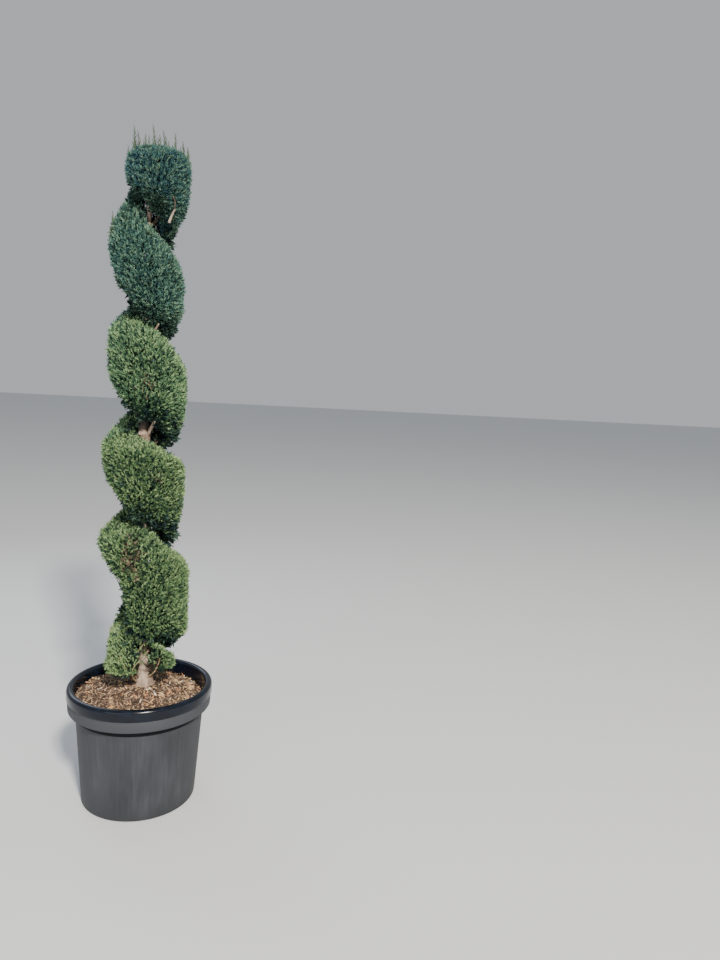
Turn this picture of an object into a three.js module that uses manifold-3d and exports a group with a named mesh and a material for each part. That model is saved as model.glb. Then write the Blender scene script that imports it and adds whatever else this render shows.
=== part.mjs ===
import * as THREE from 'three';
import { mergeVertices } from 'three/addons/utils/BufferGeometryUtils.js';
import Module from 'manifold-3d';

// A cypress clipped into a left-handed spiral, growing in a round nursery pot.
// Millimetres, +Z up, the front facing -Y, the origin under the middle of the pot.
// A turn counts once round the trunk: 0 is at +X, 0.25 at the back, 0.5 at -X, 0.75 at the front,
// and it runs downwards, because the spiral falls as it goes anticlockwise seen from above.

const TAU = 2 * Math.PI;
const GAP = 0.3;

// Pot: one moulded shell with a rolled rim over a collar
const POT_SIDES = 40;
const POT_WALL = 4;
const RIM_TOP_Z = 444;
const RIM_TOP_RADIUS = 257;
const RIM_RADIUS = 265;
const RIM_INNER_RADIUS = 238;
const RIM_TOP_WIDTH = 10;
const RIM_EASE = 8;
const ROLL_HEIGHT = 42;
const ROLL_SHOULDER = 0.55;
const INNER_STEP = 12;
const COLLAR_FOOT_Z = 361;
const COLLAR_FOOT_RADIUS = 260;
const BODY_TOP_RADIUS = 234;
const FOOT_RADIUS = 209;
const FOOT_ROUND = 8;

// Potting mix: mounded at the trunk and banked up towards the left
const MIX_SIDES = 24;
const MIX_EDGE_Z = 402;
const MIX_BANK = 13;
const MIX_EDGE_DEPTH = 18;
const MIX_EDGE_WIDTH = 14;
const MIX_MOUND_SHARE = 0.62;
const MIX_MOUND_RISE = 12;
const MIX_SEAT_DROP = 7;
const TRUNK_SEAT_RADIUS = 46;

// Trunk: plumb but for a slight shift over its first part, tapering to a tip inside the top
const TRUNK_SIDES = 12;
const TRUNK_FOOT_Z = 430;
const TRUNK_TIP_Z = 2362;
const TRUNK_FOOT_X = 8;
const TRUNK_X = -5;
const TRUNK_SHIFT_HEIGHT = 700;
const FLARE_HEIGHT = 50;
const FLARE_LOBES = 5;
const FLARE_LOBE_DEPTH = 0.16;
const TRUNK_RADII = [
  [0, 32],
  [0.008, 26.5],
  [0.026, 22],
  [0.09, 20],
  [0.47, 18.5],
  [0.49, 20.5],
  [0.51, 17],
  [0.69, 13],
  [0.89, 7.5],
  [1, 3.5],
];

// Spiral: the groove's middle line and half its opening at each half turn, from turn 0
const GROOVE_Z = [2440, 2222, 2066, 1838, 1727, 1448, 1345, 1112, 990, 738, 572, 400, 240, 80];
const GROOVE_HALF_OPENING = [20, 22, 16, 9, 12, 38, 34, 26, 24, 26, 4, 12, 12, 12];
const GROOVE_START = 0.25;
const GROOVE_FADE = 0.2;
const FOLIAGE_TOP_Z = 2404;

// Foot of the foliage: lifted at the front, where the trunk stands clear of it
const FOLIAGE_FOOT_Z = 474;
const FOOT_LIFT = 48;
const FOOT_LIFT_TURN = 0.8;
const FOOT_TURN_END = 5.22;

// Spiral: the outer radius at each half turn, from half a turn before turn 0
const OUTER_RADIUS = [96, 132, 144, 122, 143, 146, 154, 146, 163, 171, 134, 128, 112];
const RADIUS_START = -0.5;
const MEAN_RADIUS = 144;
const SHOULDER_HEIGHT = 70;
const SHOULDER_POWER = 0.3;

// How much of a band's height its upper slope and its undercut take, at each half turn
const UPPER_SLOPE = 0.36;
const UNDERCUT = [0.3, 0.3, 0.36, 0.3, 0.46, 0.34, 0.5, 0.34, 0.62, 0.15, 0.3, 0.3, 0.3];
const FOOT_UNDERCUT = 0.12;
const SLOPE_BULGE = 0.55;

// The core stands back from the outline, and the sprays reach out to it
const CORE_INSET = 17;
const CORE_GROOVE_INSET = 7;
const CORE_INNER_LOW = 36;
const CORE_INNER_HIGH = 22;
const CORE_FOOT_CLEAR = 26;
const CORE_STEPS_A_TURN = 22;
const CORE_ROWS = 10;
const CORE_BACK = 2;
const CORE_SAG = 4;
const CAP_HEIGHT = 17;
const CAP_RADIUS = 34;
const CAP_CROWN = 4;

// Sprays: toothed blades on a seeded, staggered grid over each core
const SPRAY_RIM = 8;
const SPRAY_LENGTH = 84;
const SPRAY_WIDTH = 40;
const SPRAY_THICKNESS = 7;
const SPRAY_ROOT = 24;
const SPRAY_SPACING = 84;
const SPRAY_MIDDLE = 0.45;
const SPRAY_LEAN = 0.5;
const SPRAY_SWAY = 0.6;
const SPRAY_TWIST = 1.6;
const SPRAY_NOTCH = 0.5;
const SPRAY_SIZES = [0.82, 1.08];
const SPRAY_STAGGER = [0.25, 0.75];
const SPRAY_SHIFT = 0.3;
const SPRAY_SHARES = [0.01, 0.97];
const SPRAY_SEED = 20;
const BAND_DEPTH = 150;
const SPACE_MARGIN = 1.5;

// Leaders: thin shoots that stand up out of the clipped top, as [x, y, tip height]
const LEADERS = [
  [-44, -18, 2438],
  [-16, 22, 2426],
  [20, -34, 2449],
  [46, 10, 2450],
  [76, -24, 2446],
  [8, 52, 2434],
];
const LEADER_LENGTH = 90;
const LEADER_WIDTH = 13;

// Boughs: four a turn, rising out of the groove into the band above it
const BOUGHS_A_TURN = 4;
const BOUGH_FIRST_TURN = 0.625;
const BOUGH_LAST_TURN = 6.13;
const BOUGH_SIDES = 6;
const BOUGH_STEPS = 3;
const BOUGH_ROOT_RADIUS = 6;
const BOUGH_TIP_RADIUS = 4;
const BOUGH_REACH = 84;
const BOUGH_RISE = 105;
const BOUGH_BEND_SHARE = 0.6;
const BOUGH_TAKE_OFF = 34;
const BOUGH_LONGEST = 0.6;
const BOUGH_MARGIN = 1.2;
const BOUGH_FOOT_DROP = 26;
const BOUGH_TRIAL = 0.01;
const STEM_LENGTH = 34;
const STEM_TIP_RADIUS = 2.4;

// Masses of foliage, as [name, first turn, last turn]
const MASSES = [
  ['foliage_top', GROOVE_START - 1, GROOVE_START],
  ['foliage_turn1_front', GROOVE_START, 1],
  ['foliage_turn1_back', 1, 1.5],
  ['foliage_turn2_front', 1.5, 2],
  ['foliage_turn2_back', 2, 2.5],
  ['foliage_turn3_front', 2.5, 3],
  ['foliage_turn3_back', 3, 3.5],
  ['foliage_turn4_front', 3.5, 4],
  ['foliage_turn4_back', 4, 4.5],
  ['foliage_foot', 4.5, FOOT_TURN_END],
];

// Materials
const POT_PLASTIC = { color: 0x565a5e, roughness: 0.6, metalness: 0 };
const BARK_MIX = { color: 0x6b4f42, roughness: 0.95, metalness: 0 };
const CYPRESS_BARK = { color: 0x8d7565, roughness: 0.9, metalness: 0 };
const CYPRESS_LEAF = { color: 0x4d6f3e, roughness: 0.75, metalness: 0 };

const wasm = await Module();
wasm.setup();

const part = new THREE.Group();

// Helpers

function addMesh(name, geometry, look) {
  const mesh = new THREE.Mesh(geometry, new THREE.MeshStandardMaterial(look));
  mesh.name = name;
  part.add(mesh);
}

function seededRandom(seed) {
  let state = seed >>> 0;
  return () => {
    state = (state + 0x6d2b79f5) >>> 0;
    let word = Math.imul(state ^ (state >>> 15), 1 | state);
    word ^= word + Math.imul(word ^ (word >>> 7), 61 | word);
    return ((word ^ (word >>> 14)) >>> 0) / 4294967296;
  };
}

function mergedSolid(geometry) {
  geometry.deleteAttribute('normal');
  geometry.deleteAttribute('uv');
  return mergeVertices(geometry, 1e-3);
}

function moveVertices(geometry, place) {
  const merged = mergedSolid(geometry);
  const positions = merged.getAttribute('position');
  const point = new THREE.Vector3();
  for (let i = 0; i < positions.count; i += 1) {
    point.fromBufferAttribute(positions, i);
    const moved = place(point.clone());
    positions.setXYZ(i, moved.x, moved.y, moved.z);
  }
  return merged;
}

function toManifold(geometry) {
  const vertProperties = new Float32Array(geometry.getAttribute('position').array);
  const triVerts = new Uint32Array(geometry.getIndex().array);
  const mesh = new wasm.Mesh({ numProp: 3, vertProperties, triVerts });
  mesh.merge();
  return new wasm.Manifold(mesh);
}

function toGeometry(manifold) {
  const mesh = manifold.getMesh();
  const geometry = new THREE.BufferGeometry();
  geometry.setAttribute('position', new THREE.BufferAttribute(new Float32Array(mesh.vertProperties), 3));
  geometry.setIndex(new THREE.BufferAttribute(new Uint32Array(mesh.triVerts), 1));
  return geometry;
}

// The largest piece of a solid, without any loose scrap
function mainPiece(manifold) {
  const pieces = manifold.decompose();
  return pieces.reduce((best, piece) => (piece.volume() > best.volume() ? piece : best));
}

// A smooth curve through values at equal steps
function through(values, start, step, at) {
  const place = THREE.MathUtils.clamp((at - start) / step, 0, values.length - 1.000001);
  const i = Math.floor(place);
  const u = place - i;
  const b = values[i];
  const c = values[i + 1];
  const a = i > 0 ? values[i - 1] : 2 * b - c;
  const d = i + 2 < values.length ? values[i + 2] : 2 * c - b;
  const cubic = (3 * (b - c) + d - a) * u ** 3 + (2 * a - 5 * b + 4 * c - d) * u ** 2;
  return b + 0.5 * (cubic + (c - a) * u);
}

// Trunk

function trunkCentre(z) {
  const rise = THREE.MathUtils.smoothstep(z, TRUNK_FOOT_Z, TRUNK_FOOT_Z + TRUNK_SHIFT_HEIGHT);
  return THREE.MathUtils.lerp(TRUNK_FOOT_X, TRUNK_X, rise);
}

function trunkGeometry(extra) {
  const height = TRUNK_TIP_Z - TRUNK_FOOT_Z;
  const foot = new THREE.Vector2(0, TRUNK_FOOT_Z - extra);
  const tip = new THREE.Vector2(0, TRUNK_TIP_Z + extra);
  const side = TRUNK_RADII.map(([share, radius]) => {
    const z = share === 0 ? foot.y : share === 1 ? tip.y : TRUNK_FOOT_Z + share * height;
    return new THREE.Vector2(radius + extra, z);
  });
  const lathe = new THREE.LatheGeometry([foot, ...side, tip], TRUNK_SIDES);
  lathe.rotateX(Math.PI / 2);
  return moveVertices(lathe, (p) => {
    const flare = 1 - THREE.MathUtils.smoothstep(p.z, TRUNK_FOOT_Z, TRUNK_FOOT_Z + FLARE_HEIGHT);
    const lobe = 1 + FLARE_LOBE_DEPTH * flare * Math.cos(FLARE_LOBES * Math.atan2(p.y, p.x) + 1);
    return p.set(p.x * lobe + trunkCentre(p.z), p.y * lobe, p.z);
  });
}

// Pot and potting mix

function latheUpright(profile, sides) {
  const points = profile.map(([radius, z]) => new THREE.Vector2(radius, z));
  const lathe = new THREE.LatheGeometry(points, sides);
  return lathe.rotateX(Math.PI / 2);
}

function wallRadius(z) {
  const share = z / COLLAR_FOOT_Z;
  return THREE.MathUtils.lerp(FOOT_RADIUS, BODY_TOP_RADIUS, share) - POT_WALL;
}

function potGeometry() {
  const collarTopZ = RIM_TOP_Z - ROLL_HEIGHT;
  return mergedSolid(latheUpright([
    [0, 0],
    [FOOT_RADIUS - FOOT_ROUND, 0],
    [FOOT_RADIUS, FOOT_ROUND],
    [BODY_TOP_RADIUS, COLLAR_FOOT_Z],
    [COLLAR_FOOT_RADIUS, COLLAR_FOOT_Z],
    [RIM_RADIUS, collarTopZ],
    [RIM_RADIUS, collarTopZ + ROLL_SHOULDER * ROLL_HEIGHT],
    [RIM_TOP_RADIUS, RIM_TOP_Z],
    [RIM_TOP_RADIUS - RIM_TOP_WIDTH, RIM_TOP_Z],
    [RIM_INNER_RADIUS, RIM_TOP_Z - RIM_EASE],
    [wallRadius(collarTopZ), collarTopZ - INNER_STEP],
    [wallRadius(POT_WALL), POT_WALL],
    [0, POT_WALL],
  ], POT_SIDES));
}

function mixGeometry() {
  const floorZ = POT_WALL + GAP;
  const seatZ = TRUNK_FOOT_Z - GAP;
  const edgeZ = MIX_EDGE_Z - MIX_EDGE_DEPTH;
  const floorEdge = wallRadius(floorZ) - 2 * GAP;
  const wallEdge = wallRadius(edgeZ) - 2 * GAP;
  const topEdge = wallEdge - MIX_EDGE_WIDTH;
  const mix = latheUpright([
    [0, floorZ],
    [floorEdge, floorZ],
    [wallEdge, edgeZ],
    [topEdge, MIX_EDGE_Z],
    [MIX_MOUND_SHARE * wallEdge, MIX_EDGE_Z + MIX_MOUND_RISE],
    [2 * TRUNK_SEAT_RADIUS, seatZ - MIX_SEAT_DROP],
    [TRUNK_SEAT_RADIUS, seatZ],
    [0, seatZ],
  ], MIX_SIDES);
  return moveVertices(mix, (p) => {
    const outward = THREE.MathUtils.smoothstep(Math.hypot(p.x, p.y), TRUNK_SEAT_RADIUS, topEdge);
    const isTop = p.z > edgeZ + GAP;
    const bank = isTop ? MIX_BANK * outward * -p.x / wallEdge : 0;
    return p.setZ(p.z + bank);
  });
}

// Shape of the spiral

function grooveZ(turn) {
  return through(GROOVE_Z, 0, 0.5, turn);
}

function grooveOpen(turn) {
  return THREE.MathUtils.smoothstep(turn, GROOVE_START, GROOVE_START + GROOVE_FADE);
}

function halfOpening(turn) {
  const core = through(GROOVE_HALF_OPENING, 0, 0.5, turn) + CORE_GROOVE_INSET;
  return Math.max(core * grooveOpen(turn), GAP);
}

function innerRadius(z) {
  const share = (z - FOLIAGE_FOOT_Z) / (FOLIAGE_TOP_Z - FOLIAGE_FOOT_Z);
  return THREE.MathUtils.lerp(CORE_INNER_LOW, CORE_INNER_HIGH, share);
}

function foliageFootZ(turn) {
  const front = Math.max(Math.cos((turn - FOOT_LIFT_TURN) * TAU), 0);
  return FOLIAGE_FOOT_Z + FOOT_LIFT * front ** 2;
}

// Top and foot of a band's core at the trunk
function bandEnds(turn) {
  const isTop = turn < GROOVE_START;
  const top = isTop ? FOLIAGE_TOP_Z - CORE_INSET : grooveZ(turn) - halfOpening(turn);
  const overGroove = grooveZ(turn + 1) + halfOpening(turn + 1);
  const foot = Math.max(overGroove, foliageFootZ(turn) + CORE_GROOVE_INSET);
  return [top, Math.min(foot, top - 2)];
}

function bulge(share) {
  return Math.sin((Math.PI / 2) * THREE.MathUtils.clamp(share, 0, 1)) ** SLOPE_BULGE;
}

// Radius of the core's side towards the trunk, which leaves room for the boughs at its foot
function coreInner(turn, share) {
  const [top, foot] = bandEnds(turn);
  return THREE.MathUtils.lerp(innerRadius(top), innerRadius(foot) + CORE_FOOT_CLEAR, share);
}

// How round the top of the plant is at a height: 0 on its top, 1 below its shoulder
function shoulderShare(turn, z) {
  const isTop = turn < GROOVE_START || grooveZ(turn) > FOLIAGE_TOP_Z;
  const below = THREE.MathUtils.clamp((FOLIAGE_TOP_Z - CORE_INSET - z) / SHOULDER_HEIGHT, 0, 1);
  return isTop ? (1 - (1 - below) ** 2) ** SHOULDER_POWER : 1;
}

// Radius of a band's core where share runs from 0 at its top to 1 at its foot
function coreRadius(turn, share, z) {
  const open = turn < GROOVE_START ? 0 : grooveOpen(turn);
  const upper = 1 + open * (bulge(share / UPPER_SLOPE) - 1);
  const isFoot = grooveZ(turn + 1) < foliageFootZ(turn);
  const undercut = isFoot ? FOOT_UNDERCUT : through(UNDERCUT, RADIUS_START, 0.5, turn);
  const lower = THREE.MathUtils.lerp(bulge((1 - share) / undercut), 1, 1 - grooveOpen(turn + 1));
  const inner = coreInner(turn, share);
  const outer = through(OUTER_RADIUS, RADIUS_START, 0.5, turn) - CORE_INSET;
  return inner + (outer - inner) * Math.min(upper, lower) * shoulderShare(turn, z);
}

function onCore(turn, share) {
  const [top, foot] = bandEnds(turn);
  const z = THREE.MathUtils.lerp(top, foot, share);
  const radius = coreRadius(turn, share, z);
  return new THREE.Vector3(radius * Math.cos(turn * TAU), radius * Math.sin(turn * TAU), z);
}

// The turn of the band that a point lies in, counted down the spiral
function turnAt(point) {
  const lastTurn = (GROOVE_Z.length - 1) / 2;
  let turn = (Math.atan2(point.y, point.x) / TAU + 1) % 1 - 1;
  while (turn + 2 < lastTurn && grooveZ(turn + 1) > point.z) {
    turn += 1;
  }
  return turn;
}

// Boughs

class LimbCurve extends THREE.Curve {
  constructor(whole, from, to) {
    super();
    this.whole = whole;
    this.from = from;
    this.to = to;
  }

  getPoint(share, target = new THREE.Vector3()) {
    return this.whole.getPoint(THREE.MathUtils.lerp(this.from, this.to, share), target);
  }
}

// A point beside a curve, across it on the level and over it
function besideCurve(curve, share, across, over) {
  const along = curve.getTangent(share);
  const side = new THREE.Vector3(0, 0, 1).cross(along).normalize();
  const upright = side.clone().cross(along);
  return curve.getPoint(share).addScaledVector(side, across).addScaledVector(upright, over);
}

// A tapering cylinder bent along a curve
function limbGeometry(curve, rootRadius, tipRadius) {
  const straight = new THREE.CylinderGeometry(tipRadius, rootRadius, 1, BOUGH_SIDES, BOUGH_STEPS);
  return moveVertices(straight, (p) => besideCurve(curve, p.y + 0.5, p.x, p.z));
}

function insideCore(point, nearTurn) {
  const round = Math.atan2(point.y, point.x) / TAU;
  const turn = round + Math.round(nearTurn - round);
  const [top, foot] = bandEnds(turn);
  const share = (top - point.z) / (top - foot);
  if (share < 0 || share > 1) {
    return false;
  }
  const radius = Math.hypot(point.x, point.y);
  return radius > coreInner(turn, share) - CORE_SAG && radius < coreRadius(turn, share, point.z);
}

// True where a limb of this radius would come near the core of the band at a turn
function limbMeetsCore(curve, share, turn, radius) {
  const corners = 2 * BOUGH_SIDES;
  for (let corner = 0; corner < corners; corner += 1) {
    const angle = TAU * corner / corners;
    const there = besideCurve(curve, share, radius * Math.cos(angle), radius * Math.sin(angle));
    if (insideCore(there, turn)) {
      return true;
    }
  }
  return false;
}

// A bough's line, the share of it that is bough, and where the stem of the mass goes on
function planBough(turn) {
  const rootZ = Math.max(grooveZ(turn), FOLIAGE_FOOT_Z - BOUGH_FOOT_DROP);
  const out = new THREE.Vector3(Math.cos(turn * TAU), Math.sin(turn * TAU), 0);
  const root = new THREE.Vector3(trunkCentre(rootZ), 0, rootZ);
  const bend = out.clone().multiplyScalar(BOUGH_REACH * BOUGH_BEND_SHARE).setZ(rootZ + BOUGH_TAKE_OFF);
  const tip = out.clone().multiplyScalar(BOUGH_REACH).setZ(rootZ + BOUGH_RISE);
  const line = new THREE.QuadraticBezierCurve3(root, bend, tip);
  const clear = BOUGH_ROOT_RADIUS + BOUGH_MARGIN;
  let end = 0;
  while (end < BOUGH_LONGEST && !limbMeetsCore(line, end + BOUGH_TRIAL, turn - 1, clear)) {
    end += BOUGH_TRIAL;
  }
  const stride = line.getPoint(end + BOUGH_TRIAL).distanceTo(line.getPoint(end));
  const stemStart = end + BOUGH_TRIAL * GAP / stride;
  const stemEnd = end + BOUGH_TRIAL * STEM_LENGTH / stride;
  return { turn, limb: new LimbCurve(line, 0, end), stem: new LimbCurve(line, stemStart, stemEnd) };
}

function boughRadius(share) {
  return THREE.MathUtils.lerp(BOUGH_ROOT_RADIUS, BOUGH_TIP_RADIUS, share);
}

// Sprays

// A toothed blade along +Y with its root at the origin, thickest in the middle
function bladeGeometry(length, width) {
  const blade = new THREE.SphereGeometry(1, SPRAY_RIM, 2);
  return moveVertices(blade, (p) => {
    if (Math.abs(p.y) > 0.5) {
      return p.set(0, SPRAY_MIDDLE * length, p.y * SPRAY_THICKNESS / 2);
    }
    const tooth = Math.round(Math.atan2(p.z, p.x) / (TAU / SPRAY_RIM));
    const isNotch = Math.abs(tooth) % 2 === 0 && tooth !== 0 && Math.abs(tooth) * 2 !== SPRAY_RIM;
    const spread = isNotch ? SPRAY_NOTCH : 1;
    const along = (1 - p.x) / 2;
    return p.set(-p.z * spread * width / 2, along * length, 0);
  });
}

function placeBlade(blade, root, along, face) {
  const across = new THREE.Vector3().crossVectors(along, face).normalize();
  const normal = new THREE.Vector3().crossVectors(across, along);
  const turned = new THREE.Matrix4().makeBasis(across, along, normal).setPosition(root);
  return blade.applyMatrix4(turned);
}

function isInSpace(point, mass) {
  const radius = Math.hypot(point.x, point.y);
  const turn = turnAt(point);
  const sideways = SPACE_MARGIN / (TAU * radius);
  const clearAbove = turn < GROOVE_START || grooveZ(turn) - point.z > SPACE_MARGIN;
  const clearBelow = point.z - grooveZ(turn + 1) > SPACE_MARGIN && point.z > foliageFootZ(turn);
  const inSector = turn > mass.from + sideways && turn < mass.to - sideways;
  return radius > innerRadius(point.z) && clearAbove && clearBelow && inSector;
}

// True if the blade's rim and the places between it and the middle are in the mass's own space
function keepsToSpace(blade, mass) {
  const positions = blade.getAttribute('position');
  const middle = new THREE.Vector3();
  const rim = [];
  for (let i = 0; i < positions.count; i += 1) {
    rim.push(new THREE.Vector3().fromBufferAttribute(positions, i));
    middle.addScaledVector(rim[i], 1 / positions.count);
  }
  const rings = [0, 0.35, 0.7].map((share) => rim.map((point) => point.clone().lerp(middle, share)));
  return rings.flat().every((point) => isInSpace(point, mass));
}

function sprayAt(turn, share, random) {
  const step = 0.004;
  const here = onCore(turn, share);
  const above = onCore(turn, Math.max(share - step, 0));
  const below = onCore(turn, Math.min(share + step, 1));
  const down = below.sub(above).normalize();
  const round = onCore(turn + step, share).sub(onCore(turn - step, share)).normalize();
  const outward = new THREE.Vector3().crossVectors(down, round).normalize();
  const along = down.clone().negate();
  along.addScaledVector(outward, SPRAY_LEAN);
  along.addScaledVector(round, SPRAY_SWAY * (random() - 0.5));
  along.normalize();
  const face = outward.applyAxisAngle(along, SPRAY_TWIST * (random() - 0.5));
  const size = THREE.MathUtils.lerp(...SPRAY_SIZES, random());
  const blade = bladeGeometry(SPRAY_LENGTH * size, SPRAY_WIDTH * size);
  return placeBlade(blade, here.addScaledVector(along, -SPRAY_ROOT), along, face);
}

// The sprays of a mass that keep to its space and touch no limb
function spraysOf(mass, limbSpace) {
  const random = seededRandom(SPRAY_SEED + Math.round(mass.from * 8));
  const sprays = [];
  const columns = Math.round((mass.to - mass.from) * TAU * MEAN_RADIUS / SPRAY_SPACING);
  const columnTurns = (mass.to - mass.from) / columns;
  for (let column = 0; column < columns; column += 1) {
    const middle = mass.from + (column + 0.5) * columnTurns;
    const [top, foot] = bandEnds(middle);
    const rows = Math.max(Math.round((top - foot + BAND_DEPTH) / SPRAY_SPACING), 2);
    for (let row = 0; row < rows; row += 1) {
      const turn = middle + SPRAY_SHIFT * (random() - 0.5) * columnTurns;
      const even = (row + SPRAY_STAGGER[column % 2]) / rows;
      const share = 0.5 - 0.5 * Math.cos(Math.PI * even);
      const blade = sprayAt(turn, THREE.MathUtils.clamp(share, ...SPRAY_SHARES), random);
      const spray = toManifold(blade);
      if (keepsToSpace(blade, mass) && spray.intersect(limbSpace).isEmpty()) {
        sprays.push(spray);
      }
    }
  }
  return sprays;
}

// Masses of foliage

// A corner of a band's core: its back at the foot or the top, or one of the rows between them
function coreCorner(turn, corner) {
  if (corner > 0 && corner <= CORE_ROWS) {
    const even = (corner - 1) / (CORE_ROWS - 1);
    return onCore(turn, 0.5 + 0.5 * Math.cos(Math.PI * even));
  }
  const share = corner === 0 ? 1 : 0;
  const [top, foot] = bandEnds(turn);
  const radius = coreInner(turn, share) - CORE_BACK;
  const z = THREE.MathUtils.lerp(top, foot, share);
  return new THREE.Vector3(radius * Math.cos(turn * TAU), radius * Math.sin(turn * TAU), z);
}

// A band's core: a ring of corners round its section, carried along the spiral
function coreGeometry(mass) {
  const steps = Math.max(Math.round((mass.to - mass.from) * CORE_STEPS_A_TURN), 4);
  const corners = CORE_ROWS + 2;
  const ring = new THREE.Shape();
  for (let corner = 0; corner < corners; corner += 1) {
    const angle = TAU * corner / corners;
    const move = corner === 0 ? 'moveTo' : 'lineTo';
    ring[move](Math.cos(angle), Math.sin(angle));
  }
  const straight = new THREE.ExtrudeGeometry(ring, { depth: 1, steps, bevelEnabled: false });
  return moveVertices(straight, (p) => {
    const corner = Math.round(Math.atan2(p.y, p.x) / (TAU / corners) + corners) % corners;
    const turn = THREE.MathUtils.lerp(mass.to, mass.from, p.z);
    const fromEnd = Math.min(p.z, 1 - p.z);
    const clear = fromEnd < 0.5 / steps ? (p.z - 0.5) * GAP : 0;
    const round = new THREE.Vector3(-Math.sin(turn * TAU), Math.cos(turn * TAU), 0);
    return coreCorner(turn, corner).addScaledVector(round, clear);
  });
}

function capGeometry() {
  const topZ = FOLIAGE_TOP_Z - CORE_INSET;
  return mergedSolid(latheUpright([
    [0, topZ - CAP_HEIGHT],
    [CAP_RADIUS, topZ - CAP_HEIGHT],
    [CAP_RADIUS, topZ - 1],
    [0, topZ + CAP_CROWN],
  ], TRUNK_SIDES));
}

function leaderGeometries() {
  return LEADERS.map(([x, y, tipZ]) => {
    const root = new THREE.Vector3(x, y, tipZ - LEADER_LENGTH);
    const blade = bladeGeometry(LEADER_LENGTH, LEADER_WIDTH);
    return placeBlade(blade, root, new THREE.Vector3(0, 0, 1), new THREE.Vector3(y, -x, 0).normalize());
  });
}

function massGeometry(mass, boughs, limbSpace) {
  const own = boughs.filter((bough) => bough.turn - 1 > mass.from && bough.turn - 1 < mass.to);
  const stems = own.map((bough) => limbGeometry(bough.stem, boughRadius(bough.limb.to), STEM_TIP_RADIUS));
  const extras = mass.name === 'foliage_top' ? [capGeometry(), ...leaderGeometries()] : [];
  const pieces = [...[...stems, ...extras].map(toManifold), ...spraysOf(mass, limbSpace)];
  const joined = pieces.reduce((whole, piece) => whole.add(piece), toManifold(coreGeometry(mass)));
  return toGeometry(mainPiece(joined));
}

// Assembly

addMesh('pot', potGeometry(), POT_PLASTIC);
addMesh('potting_mix', mixGeometry(), BARK_MIX);
addMesh('trunk', trunkGeometry(0), CYPRESS_BARK);

const boughs = [];
for (let turn = BOUGH_FIRST_TURN; turn <= BOUGH_LAST_TURN; turn += 1 / BOUGHS_A_TURN) {
  boughs.push(planBough(turn));
}

const trunkSpace = toManifold(trunkGeometry(GAP));
let limbSpace = trunkSpace;
boughs.forEach(({ limb }, i) => {
  const endRadius = boughRadius(limb.to);
  const bough = toManifold(limbGeometry(limb, BOUGH_ROOT_RADIUS, endRadius)).subtract(trunkSpace);
  const space = limbGeometry(limb, BOUGH_ROOT_RADIUS + BOUGH_MARGIN, endRadius + BOUGH_MARGIN);
  limbSpace = limbSpace.add(toManifold(space));
  addMesh(`bough_${String(i + 1).padStart(2, '0')}`, toGeometry(mainPiece(bough)), CYPRESS_BARK);
});

MASSES.forEach(([name, from, to]) => {
  addMesh(name, massGeometry({ name, from, to }, boughs, limbSpace), CYPRESS_LEAF);
});

export default part;
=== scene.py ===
# %% [markdown]
# # A cypress clipped into a spiral, in a nursery pot
#
# A young cypress has had its foliage cut into one band that falls round the trunk like a screw
# thread. This lesson dresses its plain solids: the pot gets a rolled rim and dusty walls, the
# mix gets bark chips, the wood gets its relief, and each mass of foliage is grown again as twigs
# and sprays. The solids are loaded first. They give the frame, and nothing below moves them.

# %% Load the frame and its tools
import math
import random

import bpy
import numpy as np
from mathutils import Matrix, Vector


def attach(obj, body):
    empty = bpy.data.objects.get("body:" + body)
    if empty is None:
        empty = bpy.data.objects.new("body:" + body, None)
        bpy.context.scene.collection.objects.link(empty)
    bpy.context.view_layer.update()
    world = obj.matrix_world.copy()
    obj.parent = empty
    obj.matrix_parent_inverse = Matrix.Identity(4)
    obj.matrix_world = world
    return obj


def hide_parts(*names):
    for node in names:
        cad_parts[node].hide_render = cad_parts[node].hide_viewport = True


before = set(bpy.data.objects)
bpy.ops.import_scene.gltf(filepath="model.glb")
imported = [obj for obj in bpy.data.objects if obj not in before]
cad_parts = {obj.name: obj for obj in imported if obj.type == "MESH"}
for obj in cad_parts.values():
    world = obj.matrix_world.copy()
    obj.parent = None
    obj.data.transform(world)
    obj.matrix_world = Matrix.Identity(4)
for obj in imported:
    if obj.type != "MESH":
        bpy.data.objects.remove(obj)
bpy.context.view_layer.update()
MM = 0.001
TURN = 2 * math.pi


# %% [markdown]
# Every finish starts from an sRGB colour, as a painter would pick it, and Blender wants linear
# light. One function turns the first into the second. Another adds any node with its settings
# and links, so that a material reads as a short list of steps. Most finishes take their colour
# from a noise that is stretched along the grain.

# %% Helpers for colours and nodes
EVEN = (1, 1, 1)


def linear(hex_colour):
    """The linear colour of an sRGB hex value."""
    parts = [int(hex_colour[i:i + 2], 16) / 255 for i in (1, 3, 5)]
    return (*[c / 12.92 if c <= 0.04045 else ((c + 0.055) / 1.055) ** 2.4 for c in parts], 1.0)


def add(tree, kind, links=None, **settings):
    """Adds a node. A link's key is an input, its value a number, an output or a node to read."""
    node = tree.nodes.new(kind)
    for key, value in settings.items():
        setattr(node, key, value)
    for key, value in (links or {}).items():
        if isinstance(value, bpy.types.Node):
            value = value.outputs[0]
        if isinstance(value, bpy.types.NodeSocket):
            tree.links.new(value, node.inputs[key])
        else:
            node.inputs[key].default_value = value
    return node


def new_material(name, roughness, colour, **inputs):
    """A material with one Principled shader, which gets its constants on its own sockets."""
    material = bpy.data.materials.new(name)
    material.use_nodes = True
    tree = material.node_tree
    tree.nodes.clear()
    shader = add(tree, "ShaderNodeBsdfPrincipled",
                 {"Base Color": linear(colour), "Roughness": roughness, **inputs})
    add(tree, "ShaderNodeOutputMaterial", {"Surface": shader})
    material.diffuse_color = linear(colour)
    return material, tree, shader


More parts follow.
